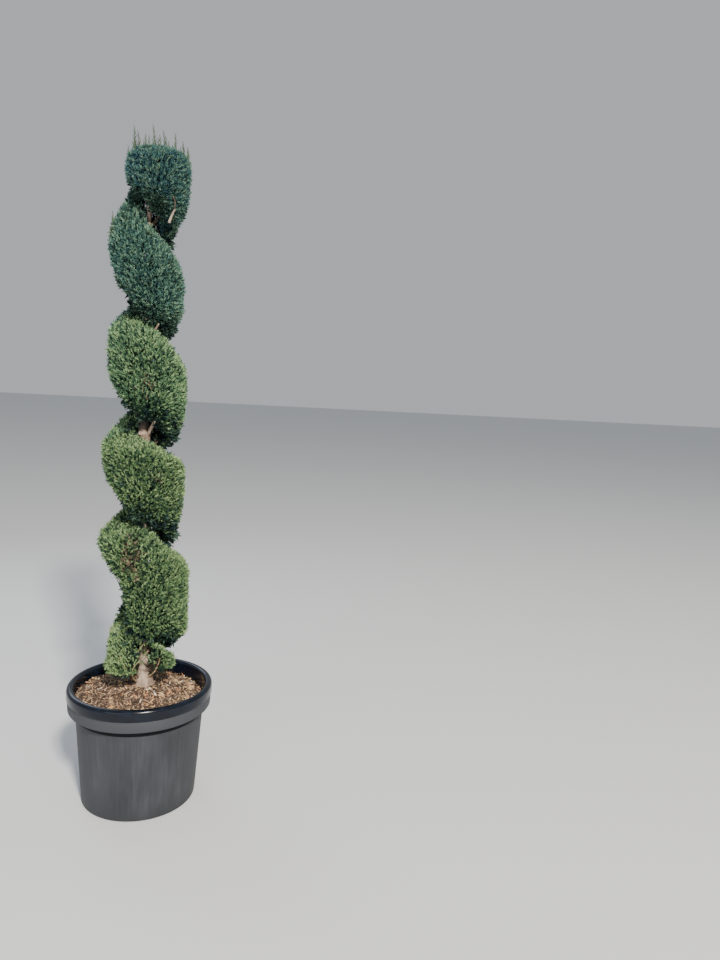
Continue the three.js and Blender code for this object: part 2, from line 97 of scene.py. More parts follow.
def ramp(tree, factor, stops, shader=None):
    """A ramp of pairs of place and hex colour, which colours a shader if one is given."""
    node = add(tree, "ShaderNodeValToRGB", {"Fac": factor})
    elements = node.color_ramp.elements
    while len(elements) < len(stops):
        elements.new(0.5)
    for element, (place, colour) in zip(elements, stops):
        element.position = place
        element.color = linear(colour)
    if shader:
        tree.links.new(node.outputs[0], shader.inputs["Base Color"])
    return node


def stretched_noise(tree, scale, stretch=EVEN, detail=3.0, roughness=0.55):
    """Noise on the object's own coordinates, with its grain stretched along an axis."""
    place = add(tree, "ShaderNodeTexCoord")
    mapping = add(tree, "ShaderNodeMapping",
                  {"Vector": place.outputs["Object"], "Scale": stretch})
    return add(tree, "ShaderNodeTexNoise", {"Vector": mapping, "Scale": scale, "Detail": detail,
                                            "Roughness": roughness})


def grained(name, roughness, colour, noise, stops, **inputs):
    """A material whose colour follows a noise, with its tree, its shader and the noise."""
    material, tree, shader = new_material(name, roughness, colour, **inputs)
    grain = stretched_noise(tree, *noise)
    ramp(tree, grain, stops, shader)
    return material, tree, shader, grain


def bump(tree, shader, height, millimetres, strength=1.0):
    """Raises the surface by a height from 0 to 1, worth this many millimetres."""
    node = add(tree, "ShaderNodeBump",
               {"Strength": strength, "Distance": millimetres * MM, "Height": height})
    tree.links.new(node.outputs[0], shader.inputs["Normal"])


# %% [markdown]
# Most pieces are rings of points, one after another, and many are small parts joined into one.
# These helpers number the faces, so that all point outwards and no end is left open.

# %% Helpers for meshes
def plain_mesh(name, points, faces, materials=(), face_materials=None, smooth=False):
    """An object at the origin from points and faces, with its materials."""
    mesh = bpy.data.meshes.new(name)
    mesh.from_pydata([tuple(p) for p in points], [], [tuple(f) for f in faces])
    for material in materials:
        mesh.materials.append(material)
    if face_materials is not None:
        mesh.polygons.foreach_set("material_index", np.asarray(face_materials, np.int32))
    mesh.polygons.foreach_set("use_smooth", [smooth] * len(mesh.polygons))
    mesh.update()
    piece = bpy.data.objects.new(name, mesh)
    bpy.context.scene.collection.objects.link(piece)
    return piece


def ring_faces(rings, sides, first=0, flip=False):
    """Quads between rings of points that follow one another."""
    quads = []
    for a in range(first, first + (rings - 1) * sides, sides):
        quads += [(a + i, a + (i + 1) % sides, a + sides + (i + 1) % sides, a + sides + i)
                  for i in range(sides)]
    return [(a, d, c, b) for a, b, c, d in quads] if flip else quads


def fan(tip, first, sides, flip=False):
    """Triangles from one point to a ring."""
    pairs = [(first + i, first + (i + 1) % sides) for i in range(sides)]
    return [(tip, b, a) if flip else (tip, a, b) for a, b in pairs]


def joined_mesh(name, parts, material, smooth=False):
    """One object from parts, each with points in millimetres and faces."""
    faces, count = [], 0
    for points, part_faces in parts:
        faces += [tuple(count + i for i in face) for face in part_faces]
        count += len(points)
    points = np.concatenate([points for points, _ in parts]) * MM
    return plain_mesh(name, points, faces, [material], smooth=smooth)


def triangles(piece):
    return sum(len(face.vertices) - 2 for face in piece.data.polygons)


# %% [markdown]
# The camera stands where a person stood, at eye height, and looks past the plant's right side,
# so that the plant comes out at the left of the picture. Its place and its three angles, turned
# right, tipped down and rolled, come from the ellipses of the pot's rim, collar and foot. It is
# made before the plant, because every look at the work goes through it.

# %% Camera
SENSOR, FOCAL_PIXELS, PICTURE_HEIGHT = 36, 721, 960
YAW, PITCH, ROLL = 16.716, 6.92, 3.25
EYE = (0, -2.7401, 1.579)
camera = bpy.data.objects.new("camera", bpy.data.cameras.new("camera"))
bpy.context.scene.collection.objects.link(camera)
camera.data.sensor_width = SENSOR
camera.data.lens = SENSOR * FOCAL_PIXELS / PICTURE_HEIGHT
camera.matrix_world = Matrix.Translation(EYE)
for angle, axis in ((-YAW, "Z"), (90 - PITCH, "X"), (ROLL, "Z")):
    camera.matrix_world @= Matrix.Rotation(math.radians(angle), 4, axis)
bpy.context.scene.camera = camera
print("camera", [round(c, 3) for c in camera.location])

# %% [markdown]
# The room is plain: a pale floor and broad, soft lamps. The strongest stands in front, a little
# to the right and almost 40 degrees up, because the bands need shade below them to read as a
# spiral. Two weak, cool lamps lift the shade.

# %% Floor and light
FLOOR_REACH = 60
floor_paint = new_material("pale_floor_paint", 0.85, "#D3D5D6")[0]
corners = [(x * FLOOR_REACH, y * FLOOR_REACH, 0) for x, y in ((-1, -1), (1, -1), (1, 1), (-1, 1))]
floor = plain_mesh("floor", corners, [(0, 1, 2, 3)], [floor_paint])


def soft_lamp(name, place, target, size, watts, colour):
    """A square area lamp that faces a point."""
    lamp = bpy.data.objects.new(name, bpy.data.lights.new(name, "AREA"))
    lamp.data.size = size
    lamp.data.energy = watts
    lamp.data.color = linear(colour)[:3]
    lamp.location = place
    lamp.rotation_euler = (Vector(place) - Vector(target)).to_track_quat("Z", "Y").to_euler()
    bpy.context.scene.collection.objects.link(lamp)


soft_lamp("key_lamp", (1.5, -10.0, 8.9), (0, 0, 1.3), 1.3, 2980, "#FFF7EC")
soft_lamp("fill_lamp", (-2.6, -3.4, 2.0), (0, 0, 1.5), 2.4, 40, "#D6E4FF")
soft_lamp("back_lamp", (-1.4, 3.0, 3.2), (0, 0, 1.4), 2.2, 45, "#E4EEFF")
world = bpy.data.worlds.new("studio")
bpy.context.scene.world = world
world.use_nodes = True
sky = world.node_tree.nodes["Background"].inputs
sky["Color"].default_value = linear("#E4E8EC")
sky["Strength"].default_value = 0.6

# %% [markdown]
# A nursery pot is injection-moulded polypropylene, thin and slightly tapered, with a stiff
# collar and a rolled rim that is gripped to lift it. It is round, so it is a turned shape: one
# outline of radius and height, swept round the axis. The roll needs real curvature for its
# highlight, so its outline is an arc of many short steps. The small numbers in the outline are
# the rounds and steps of the mould, in millimetres.

# %% Pot outline
RIM_TOP_Z, RIM_RADIUS, RIM_INNER_RADIUS = 444, 265, 238
ROLL_HEIGHT, COLLAR_FOOT_Z, COLLAR_FOOT_RADIUS = 42, 361, 260
BODY_TOP_RADIUS, FOOT_RADIUS, POT_WALL, FOOT_ROUND = 234, 209, 4, 9
# The strip of painted shade under the collar starts at this height.
SHADE_STRIP_Z = 335
roll_middle = (RIM_RADIUS + RIM_INNER_RADIUS) / 2
roll_round = (RIM_RADIUS - RIM_INNER_RADIUS) / 2
roll_foot_z = RIM_TOP_Z - ROLL_HEIGHT


def arc(radius_at, z_at, radius, start, end, steps):
    """Points of an arc, from one angle to another in degrees."""
    angles = [math.radians(start + (end - start) * i / steps) for i in range(steps + 1)]
    return [(radius_at + radius * math.cos(a), z_at + radius * math.sin(a)) for a in angles]


def wall_radius(z):
    return FOOT_RADIUS + (BODY_TOP_RADIUS - FOOT_RADIUS) * z / COLLAR_FOOT_Z


pot_outline = [
    (0, 0), (60, 0), (120, 0), (FOOT_RADIUS - FOOT_ROUND, 0),
    *arc(FOOT_RADIUS - FOOT_ROUND, FOOT_ROUND, FOOT_ROUND, -90, -4, 6),
    *[(wall_radius(z), z) for z in (72.2, 144.4, 216.6, 288.8, SHADE_STRIP_Z, 350.17)],
    *arc(BODY_TOP_RADIUS + 4, COLLAR_FOOT_Z - 4, 4, 180, 90, 4),
    (COLLAR_FOOT_RADIUS - 3, COLLAR_FOOT_Z),
    *arc(COLLAR_FOOT_RADIUS - 2, COLLAR_FOOT_Z + 2, 2, -70, 0, 3),
    (COLLAR_FOOT_RADIUS + 2, roll_foot_z - 3), (COLLAR_FOOT_RADIUS + 1, roll_foot_z - 1),
    *arc(RIM_RADIUS - 4, roll_foot_z + 4, 4, -90, 0, 4),
    *arc(roll_middle, RIM_TOP_Z - roll_round, roll_round, 0, 180, 18),
    (RIM_INNER_RADIUS, RIM_TOP_Z - 30), (BODY_TOP_RADIUS - 1, roll_foot_z - 2),
    (FOOT_RADIUS - POT_WALL, POT_WALL), (0, POT_WALL),
]
print("outline points:", len(pot_outline))

# %% [markdown]
# Three finishes meet on the pot. The roll is handled and rained clean, so it keeps its moulded
# gloss; its near-black colour is tinted blue, a painted reflection of the sky. The walls and the
# collar carry a dry film of dust and lime that water has drawn down in faint streaks: noise
# squeezed to about 15 mm across and stretched twenty times along the height. The strip under the
# collar is painted near-black and dull, as painted shade: the collar's shadow on the wall.

# %% Pot finishes
# The roll's blue tint is a painted reflection of the sky on near-black plastic.
rim_plastic, tree, shader, smear = grained(
    "moulded_polypropylene_clean", 0.2, "#0C131F", (26,),
    [(0.3, "#070B13"), (0.6, "#0C131F"), (0.8, "#131C2A")], **{"Specular IOR Level": 0.32})
gloss = add(tree, "ShaderNodeMapRange", {
    "Value": smear, "From Min": 0.3, "From Max": 0.8, "To Min": 0.16, "To Max": 0.27})
tree.links.new(gloss.outputs[0], shader.inputs["Roughness"])

# Near-black, dull plastic for the strip under the collar: painted shade, the collar's shadow.
collar_shade_plastic = grained(
    "moulded_polypropylene_painted_shade", 0.7, "#0A0C10", (26,),
    [(0.35, "#06070A"), (0.7, "#101318")], **{"Specular IOR Level": 0.2})[0]

wall_plastic, tree, shader = new_material("moulded_polypropylene_dusty", 0.6, "#595D60")
streaks = stretched_noise(tree, 66, (1, 1, 0.05), 5, 0.6)
cloud = stretched_noise(tree, 9, (1, 1, 0.6))
film = add(tree, "ShaderNodeMath", {0: streaks, 1: cloud}, operation="ADD")
half = add(tree, "ShaderNodeMath", {0: film, 1: 0.5}, operation="MULTIPLY")
dust = ramp(tree, half, [(0.34, "#222529"), (0.46, "#2C2E33"), (0.56, "#35373C"),
                         (0.7, "#424449")])
place = add(tree, "ShaderNodeTexCoord")
height = add(tree, "ShaderNodeSeparateXYZ", {0: place.outputs["Object"]}).outputs["Z"]
splash = add(tree, "ShaderNodeMapRange", {
    "Value": height, "From Min": 0.0, "From Max": 0.07, "To Min": 0.55, "To Max": 0.0})
soiled = add(tree, "ShaderNodeMix", {"Factor": splash, "A": dust, "B": linear("#26292D")},
             data_type="RGBA")
collar = add(tree, "ShaderNodeMapRange", {
    "Value": height, "From Min": 0.357, "From Max": 0.362, "To Min": 0.0, "To Max": 0.75})
dustier = add(tree, "ShaderNodeMix", {
    "Factor": collar, "A": soiled.outputs["Result"], "B": linear("#3A3C41")}, data_type="RGBA")
tree.links.new(dustier.outputs["Result"], shader.inputs["Base Color"])
dryness = add(tree, "ShaderNodeMapRange", {
    "Value": half, "From Min": 0.35, "From Max": 0.65, "To Min": 0.5, "To Max": 0.78})
tree.links.new(dryness.outputs[0], shader.inputs["Roughness"])
bump(tree, shader, streaks, 0.25, 0.5)
print("pot finishes:", rim_plastic.name, collar_shade_plastic.name, wall_plastic.name)

# %% [markdown]
# The outline is swept round in steps of 2.5 degrees. Faces are numbered so that they point
# outwards, and each takes its finish from its place on the outline.

# %% Pot body
POT_SIDES = 144


def turned(outline, sides, pick):
    """Sweeps an outline that starts and ends on the axis round Z, with a finish for each face."""
    rings = outline[1:-1]
    angles = [TURN * i / sides for i in range(sides)]
    points = [(radius * MM * math.cos(a), radius * MM * math.sin(a), z * MM)
              for radius, z in rings for a in angles]
    points = [(0, 0, outline[0][1] * MM), *points, (0, 0, outline[-1][1] * MM)]
    faces = [*fan(0, 1, sides, flip=True), *ring_faces(len(rings), sides, first=1),
             *fan(len(points) - 1, len(points) - 1 - sides, sides)]
    steps = [(rings[0], rings[0]), *zip(rings, rings[1:]), (rings[-1], rings[-1])]
    return points, faces, [pick(low, high) for low, high in steps for _ in range(sides)]


def pot_finish(low, high):
    """0 for the clean roll and the inside, 1 for the dusty outside, 2 for the strip of painted
    shade.
    """
    is_outside = high[0] > wall_radius(high[1]) - 3
    # Faces just below the collar take the painted shade.
    is_painted_shade = low[1] >= SHADE_STRIP_Z - 1 and max(low[0], high[0]) < COLLAR_FOOT_RADIUS - 10
    is_roll = min(low[1], high[1]) >= roll_foot_z - 0.5
    return 0 if is_roll or not is_outside else 2 if is_painted_shade else 1


points, faces, finishes = turned(pot_outline, POT_SIDES, pot_finish)
pot = plain_mesh("pot_shell", points, faces, [rim_plastic, wall_plastic, collar_shade_plastic],
                 finishes, smooth=True)
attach(pot, "root")
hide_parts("pot")
print("pot triangles:", triangles(pot))

# %% [markdown]
# The potting mix is a mound that rises to the trunk and banks up at the left. Its surface is a
# polar grid raised by waves that run in many directions. Seen close, it is composted bark: dark
# crumbs with larger, paler flakes lying every way on top. The crumbs are the surface's own
# finish, and the flakes come next.

# %% Potting mix
TRUNK_FOOT_Z, TRUNK_SEAT_RADIUS, MIX_RADIUS, MIX_BANK, BANK_RADIUS = 430, 46, 231, 13, 218
MIX_PROFILE = [(0, TRUNK_FOOT_Z), (TRUNK_SEAT_RADIUS, TRUNK_FOOT_Z), (2 * TRUNK_SEAT_RADIUS, 423),
               (144, 413), (BANK_RADIUS, 402), (MIX_RADIUS, 390)]
MIX_RINGS, MIX_SIDES, RIPPLE_HEIGHT = 44, 96, 1.6
rng = np.random.default_rng(7)
wave_ways = rng.uniform(0, TURN, 14)
wave_sizes = rng.uniform(0.03, 0.16, 14)
wave_shifts = rng.uniform(0, TURN, 14)


def ripple(x, y):
    """A rough, even surface from -1 to 1, made of waves in many directions."""
    return sum(np.sin((x * np.cos(w) + y * np.sin(w)) * s + p)
               for w, s, p in zip(wave_ways, wave_sizes, wave_shifts)) / 5


def mix_height(x, y):
    """Height of the mix at a place, in millimetres."""
    radius = np.hypot(x, y)
    out = np.clip((radius - TRUNK_SEAT_RADIUS) / (BANK_RADIUS - TRUNK_SEAT_RADIUS), 0, 1)
    bank = MIX_BANK * out ** 2 * (3 - 2 * out) * -x / MIX_RADIUS
    rough = RIPPLE_HEIGHT * ripple(x, y) * np.clip((radius - 30) / 30, 0, 1)
    return np.interp(radius, *zip(*MIX_PROFILE)) + bank + rough


crumb, tree, shader, crumbs = grained(
    "composted_bark_crumbs", 0.92, "#4A382E", (210, EVEN, 6, 0.7),
    [(0.35, "#261D17"), (0.5, "#4C3C31"), (0.62, "#765F4E"), (0.75, "#977E6A")])
bump(tree, shader, crumbs, 3.0)
points = [(0, 0, TRUNK_FOOT_Z)]
angles = np.arange(MIX_SIDES) * TURN / MIX_SIDES
for k in range(1, MIX_RINGS + 1):
    x, y = MIX_RADIUS * k / MIX_RINGS * np.array([np.cos(angles), np.sin(angles)])
    points += list(zip(x, y, mix_height(x, y)))
faces = fan(0, 1, MIX_SIDES) + ring_faces(MIX_RINGS, MIX_SIDES, first=1, flip=True)
mix = plain_mesh("potting_mix_surface", np.array(points) * MM, faces, [crumb], smooth=True)
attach(mix, "root")
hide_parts("potting_mix")
print("mix triangles:", triangles(mix))

# %% [markdown]
# What repeats is made by Geometry Nodes: flakes on the mix, and sprays on the foliage. Both
# trees start and end in the same way, so these tools hold what they share. One starts a tree
# with named inputs and scattered points, and one ends it with a shape on each point. One sets a
# modifier's inputs by the identifier of each socket, turns the result into a plain mesh and
# throws the modifier away. Finishes are dealt out inside the tree by a number that each copy
# carries, because a thing as small as a flake or a spray has one colour of its own.

# %% Tools for Geometry Nodes
FINISH_COUNT = 6
# The last growing number is painted light, which deals paler greens.
GROWING_NUMBERS = {"growth": "FLOAT_VECTOR", "cover": "FLOAT", "dead": "FLOAT", "light": "FLOAT"}


def node_tree(name, *more):
    """A tree with named inputs, more numbers among them, and with points spread on its mesh."""
    tree = bpy.data.node_groups.new(name, "GeometryNodeTree")
    inputs = {"Geometry": "Geometry", "Shapes": "Collection", "Spacing": "Float",
              "Density": "Float", **dict.fromkeys(more, "Float"), "Seed": "Int",
              **{f"Finish {i}": "Material" for i in range(FINISH_COUNT)}}
    for label, kind in inputs.items():
        tree.interface.new_socket(label, in_out="INPUT", socket_type="NodeSocket" + kind)
    tree.interface.new_socket("Geometry", in_out="OUTPUT", socket_type="NodeSocketGeometry")
    given = tree.nodes.new("NodeGroupInput").outputs
    spots = add(tree, "GeometryNodeDistributePointsOnFaces", {
        "Mesh": given["Geometry"], "Distance Min": given["Spacing"],
        "Density Max": given["Density"], "Seed": given["Seed"]}, distribute_method="POISSON")
    return tree, given, spots


def random_value(given, low, high, offset, kind="FLOAT"):
    """A random number or vector for each element, from the tree's seed and an offset."""
    tree = given.id_data
    seed = add(tree, "ShaderNodeMath", {0: given["Seed"], 1: float(offset)}, operation="ADD")
    node = add(tree, "FunctionNodeRandomValue", {"Seed": seed}, data_type=kind)
    used = [s for s in node.inputs if s.enabled]
    used[0].default_value = low
    used[1].default_value = high
    return next(s for s in node.outputs if s.enabled)


def place_copies(given, points, count, offset, limits, **turn_and_size):
    """Puts one of the shapes on each point, and deals out finishes by the number called deal."""
    tree = given.id_data
    shapes = add(tree, "GeometryNodeCollectionInfo", {
        "Collection": given["Shapes"], "Separate Children": True, "Reset Children": True})
    copies = add(tree, "GeometryNodeInstanceOnPoints", {
        "Points": points, "Instance": shapes, "Pick Instance": True,
        "Instance Index": random_value(given, 0, count - 1, offset, "INT"),
        **turn_and_size})
    dealt = add(tree, "GeometryNodeRealizeInstances", {"Geometry": copies})
    deal = add(tree, "GeometryNodeInputNamedAttribute", {"Name": "deal"}, data_type="FLOAT")
    for i, limit in enumerate([-1.0, *limits]):
        past = add(tree, "FunctionNodeCompare", {0: deal, 1: limit}, operation="GREATER_EQUAL")
        dealt = add(tree, "GeometryNodeSetMaterial", {
            "Geometry": dealt, "Selection": past, "Material": given[f"Finish {i}"]})
    add(tree, "NodeGroupOutput", {"Geometry": dealt})


def grown(source, name, tree, shapes, finishes, **numbers):
    """Runs a tree on an object with these inputs, and gives the result as a plain mesh."""
    values = {"Shapes": shapes, **numbers, **{f"Finish {i}": m for i, m in enumerate(finishes)}}
    modifier = source.modifiers.new("grow", "NODES")
    modifier.node_group = tree
    for item in tree.interface.items_tree:
        if item.in_out == "INPUT" and item.name in values:
            modifier[item.identifier] = values[item.name]
    evaluated = source.evaluated_get(bpy.context.evaluated_depsgraph_get())
    mesh = bpy.data.meshes.new_from_object(evaluated)
    mesh.name = name
    source.modifiers.remove(modifier)
    for label in [a.name for a in mesh.attributes if a.name in ("deal", *GROWING_NUMBERS)]:
        mesh.attributes.remove(mesh.attributes[label])
    piece = bpy.data.objects.new(name, mesh)
    bpy.context.scene.collection.objects.link(piece)
    return piece


def store_hidden(piece, collection):
    """Keeps a shape out of the scene, in a collection that only a tree reads."""
    bpy.context.scene.collection.objects.unlink(piece)
    collection.objects.link(piece)


# %% [markdown]
# Bark flakes are torn slivers, 6 to 40 mm long, flat and a little bent. A few shapes are enough,
# because each copy is turned, tilted and scaled by chance. Most are brown like the crumbs, and
# some are fresh: tan, orange or bleached grey. Those give the surface its sparkle.

# %% Bark flakes
FLAKE_COUNT, FLAKE_LONG, FLAKE_WIDE, FLAKE_THICK = 9, (10, 27), (2.6, 5.6), (0.8, 1.8)
FLAKE_TILT = 0.65
FLAKE_COLOURS = ["#453529", "#75604F", "#A3886F", "#D6B484", "#C98C62", "#EADBC2"]
FLAKE_LIMITS = [0.34, 0.6, 0.8, 0.92, 0.96]
flake_shapes = bpy.data.collections.new("flake_shapes")
chance = random.Random(11)
for n in range(FLAKE_COUNT):
    long, wide, thick = [chance.uniform(*span) for span in (FLAKE_LONG, FLAKE_WIDE, FLAKE_THICK)]
    bend = chance.uniform(-0.12, 0.12) * long
    points = []
    for i, s in enumerate((-0.5, -0.18, 0.2, 0.5)):
        w = wide * (0.28 if i in (0, 3) else chance.uniform(0.8, 1.1)) / 2
        x, z = s * long, bend * (1 - 4 * s * s) + chance.uniform(-0.4, 0.4)
        y = chance.uniform(-0.2, 0.2) * wide
        points += [(x, y - w, z), (x, y + w, z + chance.uniform(-0.6, 0.6)), (x, y, z + thick)]
    faces = [(0, 2, 1), (9, 10, 11)]
    for a in (0, 3, 6):
        b = a + 3
        faces += [(a, b, b + 2, a + 2), (a + 2, b + 2, b + 1, a + 1), (a + 1, b + 1, b, a)]
    store_hidden(plain_mesh(f"flake_{n}", np.array(points) * MM, faces), flake_shapes)

flake_finishes = [new_material(f"pine_bark_flake_{i}", 0.85, colour)[0]
                  for i, colour in enumerate(FLAKE_COLOURS)]
tree, given, spots = node_tree("scatter_flakes")
dealt = add(tree, "GeometryNodeStoreNamedAttribute", {
    "Geometry": spots, "Name": "deal", "Value": random_value(given, 0.0, 1.0, 1)})
tilt = random_value(given, (-FLAKE_TILT, -FLAKE_TILT, 0.0), (FLAKE_TILT, FLAKE_TILT, TURN), 2,
                    "FLOAT_VECTOR")
lying = add(tree, "FunctionNodeEulerToRotation", {0: tilt})
turned_flat = add(tree, "FunctionNodeRotateRotation", {
    "Rotation": spots.outputs["Rotation"], "Rotate By": lying}, rotation_space="LOCAL")
place_copies(given, dealt, FLAKE_COUNT, 4, FLAKE_LIMITS, Rotation=turned_flat,
             Scale=random_value(given, 0.6, 1.5, 3))
flakes = grown(mix, "bark_flakes", tree, flake_shapes, flake_finishes,
               Spacing=0.005, Density=45000.0, Seed=5)
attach(flakes, "root")
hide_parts("potting_mix")
print("flake triangles:", triangles(flakes))

# %% [markdown]
# The spiral follows a rule, and so can be worked out again here from the same sizes as the
# solids. A turn counts once round the trunk and runs downwards. The groove's height is known at
# each half turn, and the band at a turn lies between the groove above it and the groove one
# turn further down. A smooth curve through the known values gives everything between. Then come
# the marks of this one plant, measured in the photo: grooves that are shallower at the sides,
# undercuts that are sharper at the front, a squared corner and a lobe near the foot, and a deep
# cut at the left above the foot, where only a sleeve of short shoots is left on the trunk.

# %% Shape of the spiral
GROOVE_Z = [2440, 2230, 2066, 1846, 1729, 1456, 1352, 1119, 990, 745, 572, 400, 240, 80]
GROOVE_HALF_OPENING = [20, 22, 15, 9, 12, 38, 31, 26, 23, 26, 4, 12, 12, 12]
SIDE_FILL = [28, 40, 24, -16, 12, -26, 66, -24, 64, -10, 14, 0, 0, 0]
OUTER_RADIUS = [93, 145, 146, 133, 146, 152, 160, 151, 172, 176, 134, 131, 112]
UNDERCUT = [0.14, 0.6, 0.48, 0.36, 0.36, 0.39, 0.53, 0.53, 0.55, 0.18, 0.27, 0.3, 0.3]
LOWER_BULGE = [0.72, 0.78, 1.4, 0.82, 1.1, 0.7, 1.15, 0.9, 1.2, 0.93, 0.8, 0.8, 0.8]
UPPER_SLOPE = [0.38, 0.35, 0.37, 0.39, 0.26, 0.39, 0.22, 0.17, 0.47, 0.22, 0.52, 0.24, 0.38]
GROOVE_START, GROOVE_FADE, UPPER_BULGE = 0.25, 0.2, 0.62
FOLIAGE_TOP_Z, SHOULDER_HEIGHT, SHOULDER_POWER, SHOULDER_EASE = 2404, 82, 0.33, 0.4
FOLIAGE_FOOT_Z, FOOT_LIFT, FOOT_LIFT_TURN, FOOT_TURN_END, FOOT_UNDERCUT = 500, 26, 0.8, 5.22, 0.07
FOOT_SPREAD, FOOT_SPREAD_Z = 12, (570, 505)
INNER_LOW, INNER_HIGH, CROWN_SHUT_Z = 36, 22, (2335, 2370)
SKIN_INSET, TOP_GAP, FOOT_GAP, TOP_DEPTH = 20, 10, 3, 0.8
FRONT_TURN, FRONT_RISE, FRONT_DROP = 0.75, [0, 14, 17, 44, 44], [-10, 22, 0, 26, 12]
LEFT_LIFT, LEFT_LIFT_TURN, LEFT_LIFT_SPAN, LEFT_LIFT_SHUT = 130, 3.5, 0.13, (3.665, 3.715)
LOBE_RISE, LOBE_TURN, LOBE_SPAN = 28, 4.6, 0.09
FRONT_SQUARE, CORNER_TURN, CORNER, CORNER_EDGE = [0.4, 0.5, 0.45, 0.4, 0.4], 3.75, 0.6, (0.9, 0.98)


def through(values, start, step, at):
    """A smooth curve through values at equal steps, for many places at once."""
    v = np.array([2 * values[0] - values[1], *values, 2 * values[-1] - values[-2]], float)
    place = np.clip((np.asarray(at, float) - start) / step, 0, len(values) - 1.000001)
    i = place.astype(int)
    u = place - i
    a, b, c, d = v[i], v[i + 1], v[i + 2], v[i + 3]
    return b + 0.5 * ((3 * (b - c) + d - a) * u ** 3 + (2 * a - 5 * b + 4 * c - d) * u ** 2
                      + (c - a) * u)


def at_groove(values, turn):
    """A size of the groove, known at each half turn from 0."""
    return through(values, 0, 0.5, turn)


def groove_z(turn):
    return at_groove(GROOVE_Z, turn)


def at_band(values, turn):
    """A size of the band, known at each half turn from -0.5."""
    return through(values, -0.5, 0.5, turn)


def smoothstep(low, high, at):
    s = np.clip((at - low) / (high - low), 0, 1)
    return s * s * (3 - 2 * s)


def groove_open(turn):
    return smoothstep(GROOVE_START, GROOVE_START + GROOVE_FADE, turn)


def half_opening(turn, inset):
    return (at_groove(GROOVE_HALF_OPENING, turn) + inset) * groove_open(turn)


def foot_z(turn):
    return FOLIAGE_FOOT_Z + FOOT_LIFT * np.maximum(np.cos((turn - FOOT_LIFT_TURN) * TURN), 0) ** 2


def inner_radius(z):
    share = (z - FOLIAGE_FOOT_Z) / (FOLIAGE_TOP_Z - FOLIAGE_FOOT_Z)
    return (INNER_LOW + (INNER_HIGH - INNER_LOW) * share) * (1 - 0.9 * smoothstep(*CROWN_SHUT_Z, z))


def side_fill(turn):
    """What a groove is shallower by at the sides and the back than at the front."""
    front = np.clip(np.cos((turn - FRONT_TURN) * TURN), 0, 1)
    return at_groove(SIDE_FILL, turn) * (1 - front ** 0.5)


def bulge(share, power):
    return np.sin(math.pi / 2 * np.clip(share, 0, 1)) ** power


def at_front(turn, values):
    """A value for each groove where it crosses the front, fading to the sides."""
    crossing = np.round(np.asarray(turn, float) - FRONT_TURN)
    near = turn - FRONT_TURN - crossing
    value = np.array([0, *values, 0])[np.clip(crossing + 1, 0, len(values) + 1).astype(int)]
    return value * np.cos(np.clip(near, -0.25, 0.25) * TURN) ** 2


def band_ends(turn, inset=SKIN_INSET):
    """Top and foot of the band's skin at the trunk. A skin that lies deeper starts lower."""
    top = groove_z(turn) - half_opening(turn, TOP_GAP) + at_front(turn, FRONT_RISE)
    top = top - TOP_DEPTH * (inset - SKIN_INSET)
    top = np.where(turn < GROOVE_START, FOLIAGE_TOP_Z - inset, top)
    top = top + LOBE_RISE * np.exp(-((turn - LOBE_TURN) / LOBE_SPAN) ** 2)
    below = turn + 1
    foot = groove_z(below) + half_opening(below, FOOT_GAP) - at_front(below, FRONT_DROP)
    return top, np.minimum(np.maximum(foot, foot_z(turn) - 4), top - 2)


def left_lift(turn):
    """How much higher the band is cut in at the left, above the foot."""
    before = np.exp(-((turn - LEFT_LIFT_TURN) / LEFT_LIFT_SPAN) ** 2)
    after = 1 - smoothstep(*LEFT_LIFT_SHUT, turn)
    return LEFT_LIFT * np.where(turn < LEFT_LIFT_TURN, before, after)


def skin_radius(turn, share, inset=SKIN_INSET):
    """Radius and height of the band's skin, where share runs from 0 at its top to 1 at its foot."""
    top, foot = band_ends(turn, inset)
    z = top + (foot - top) * share
    share = np.clip((top - z) / np.maximum(top - foot - left_lift(turn), 2), 0, 1)
    is_open = np.where(turn < GROOVE_START, 0, groove_open(turn))
    upper = 1 + is_open * (bulge(share / at_band(UPPER_SLOPE, turn), UPPER_BULGE) - 1)
    is_last = groove_z(turn + 1) < foot_z(turn)
    undercut = np.where(is_last, FOOT_UNDERCUT, at_band(UNDERCUT, turn))
    undercut = undercut * (1 - at_front(turn + 1, FRONT_SQUARE))
    near = np.cos(np.clip(turn - CORNER_TURN, -0.5, 0.5) * TURN)
    undercut = undercut * (1 - CORNER * smoothstep(*CORNER_EDGE, near))
    closed = 1 - groove_open(turn + 1)
    lower = bulge((1 - share) / undercut, at_band(LOWER_BULGE, turn)) * (1 - closed) + closed
    inner = inner_radius(z) + (1 - share) * side_fill(turn) + share * side_fill(turn + 1)
    right = np.cos(turn * TURN)
    spread = smoothstep(-FOOT_SPREAD_Z[0], -FOOT_SPREAD_Z[1], -z) * np.clip(-right, 0, 1)
    outer = at_band(OUTER_RADIUS, turn) - inset + FOOT_SPREAD * spread
    ease = 1 - SHOULDER_EASE * np.clip(right, 0, 1)
    below = np.clip((FOLIAGE_TOP_Z - inset - z) / (SHOULDER_HEIGHT * ease), 0, 1)
    is_top = (turn < GROOVE_START) | (groove_z(turn) > FOLIAGE_TOP_Z)
    shoulder = np.where(is_top, (1 - (1 - below) ** 2) ** (SHOULDER_POWER * ease), 1)
    return inner + (outer - inner) * np.minimum(upper, lower) * shoulder, z


def on_skin(turn, share, inset=SKIN_INSET):
    """Points of the skin, in millimetres."""
    radius, z = skin_radius(np.asarray(turn, float), np.asarray(share, float), inset)
    return np.stack([radius * np.cos(turn * TURN), radius * np.sin(turn * TURN), z], -1)


print("band at turn 1:", [round(float(v)) for v in band_ends(np.array(1.0))])
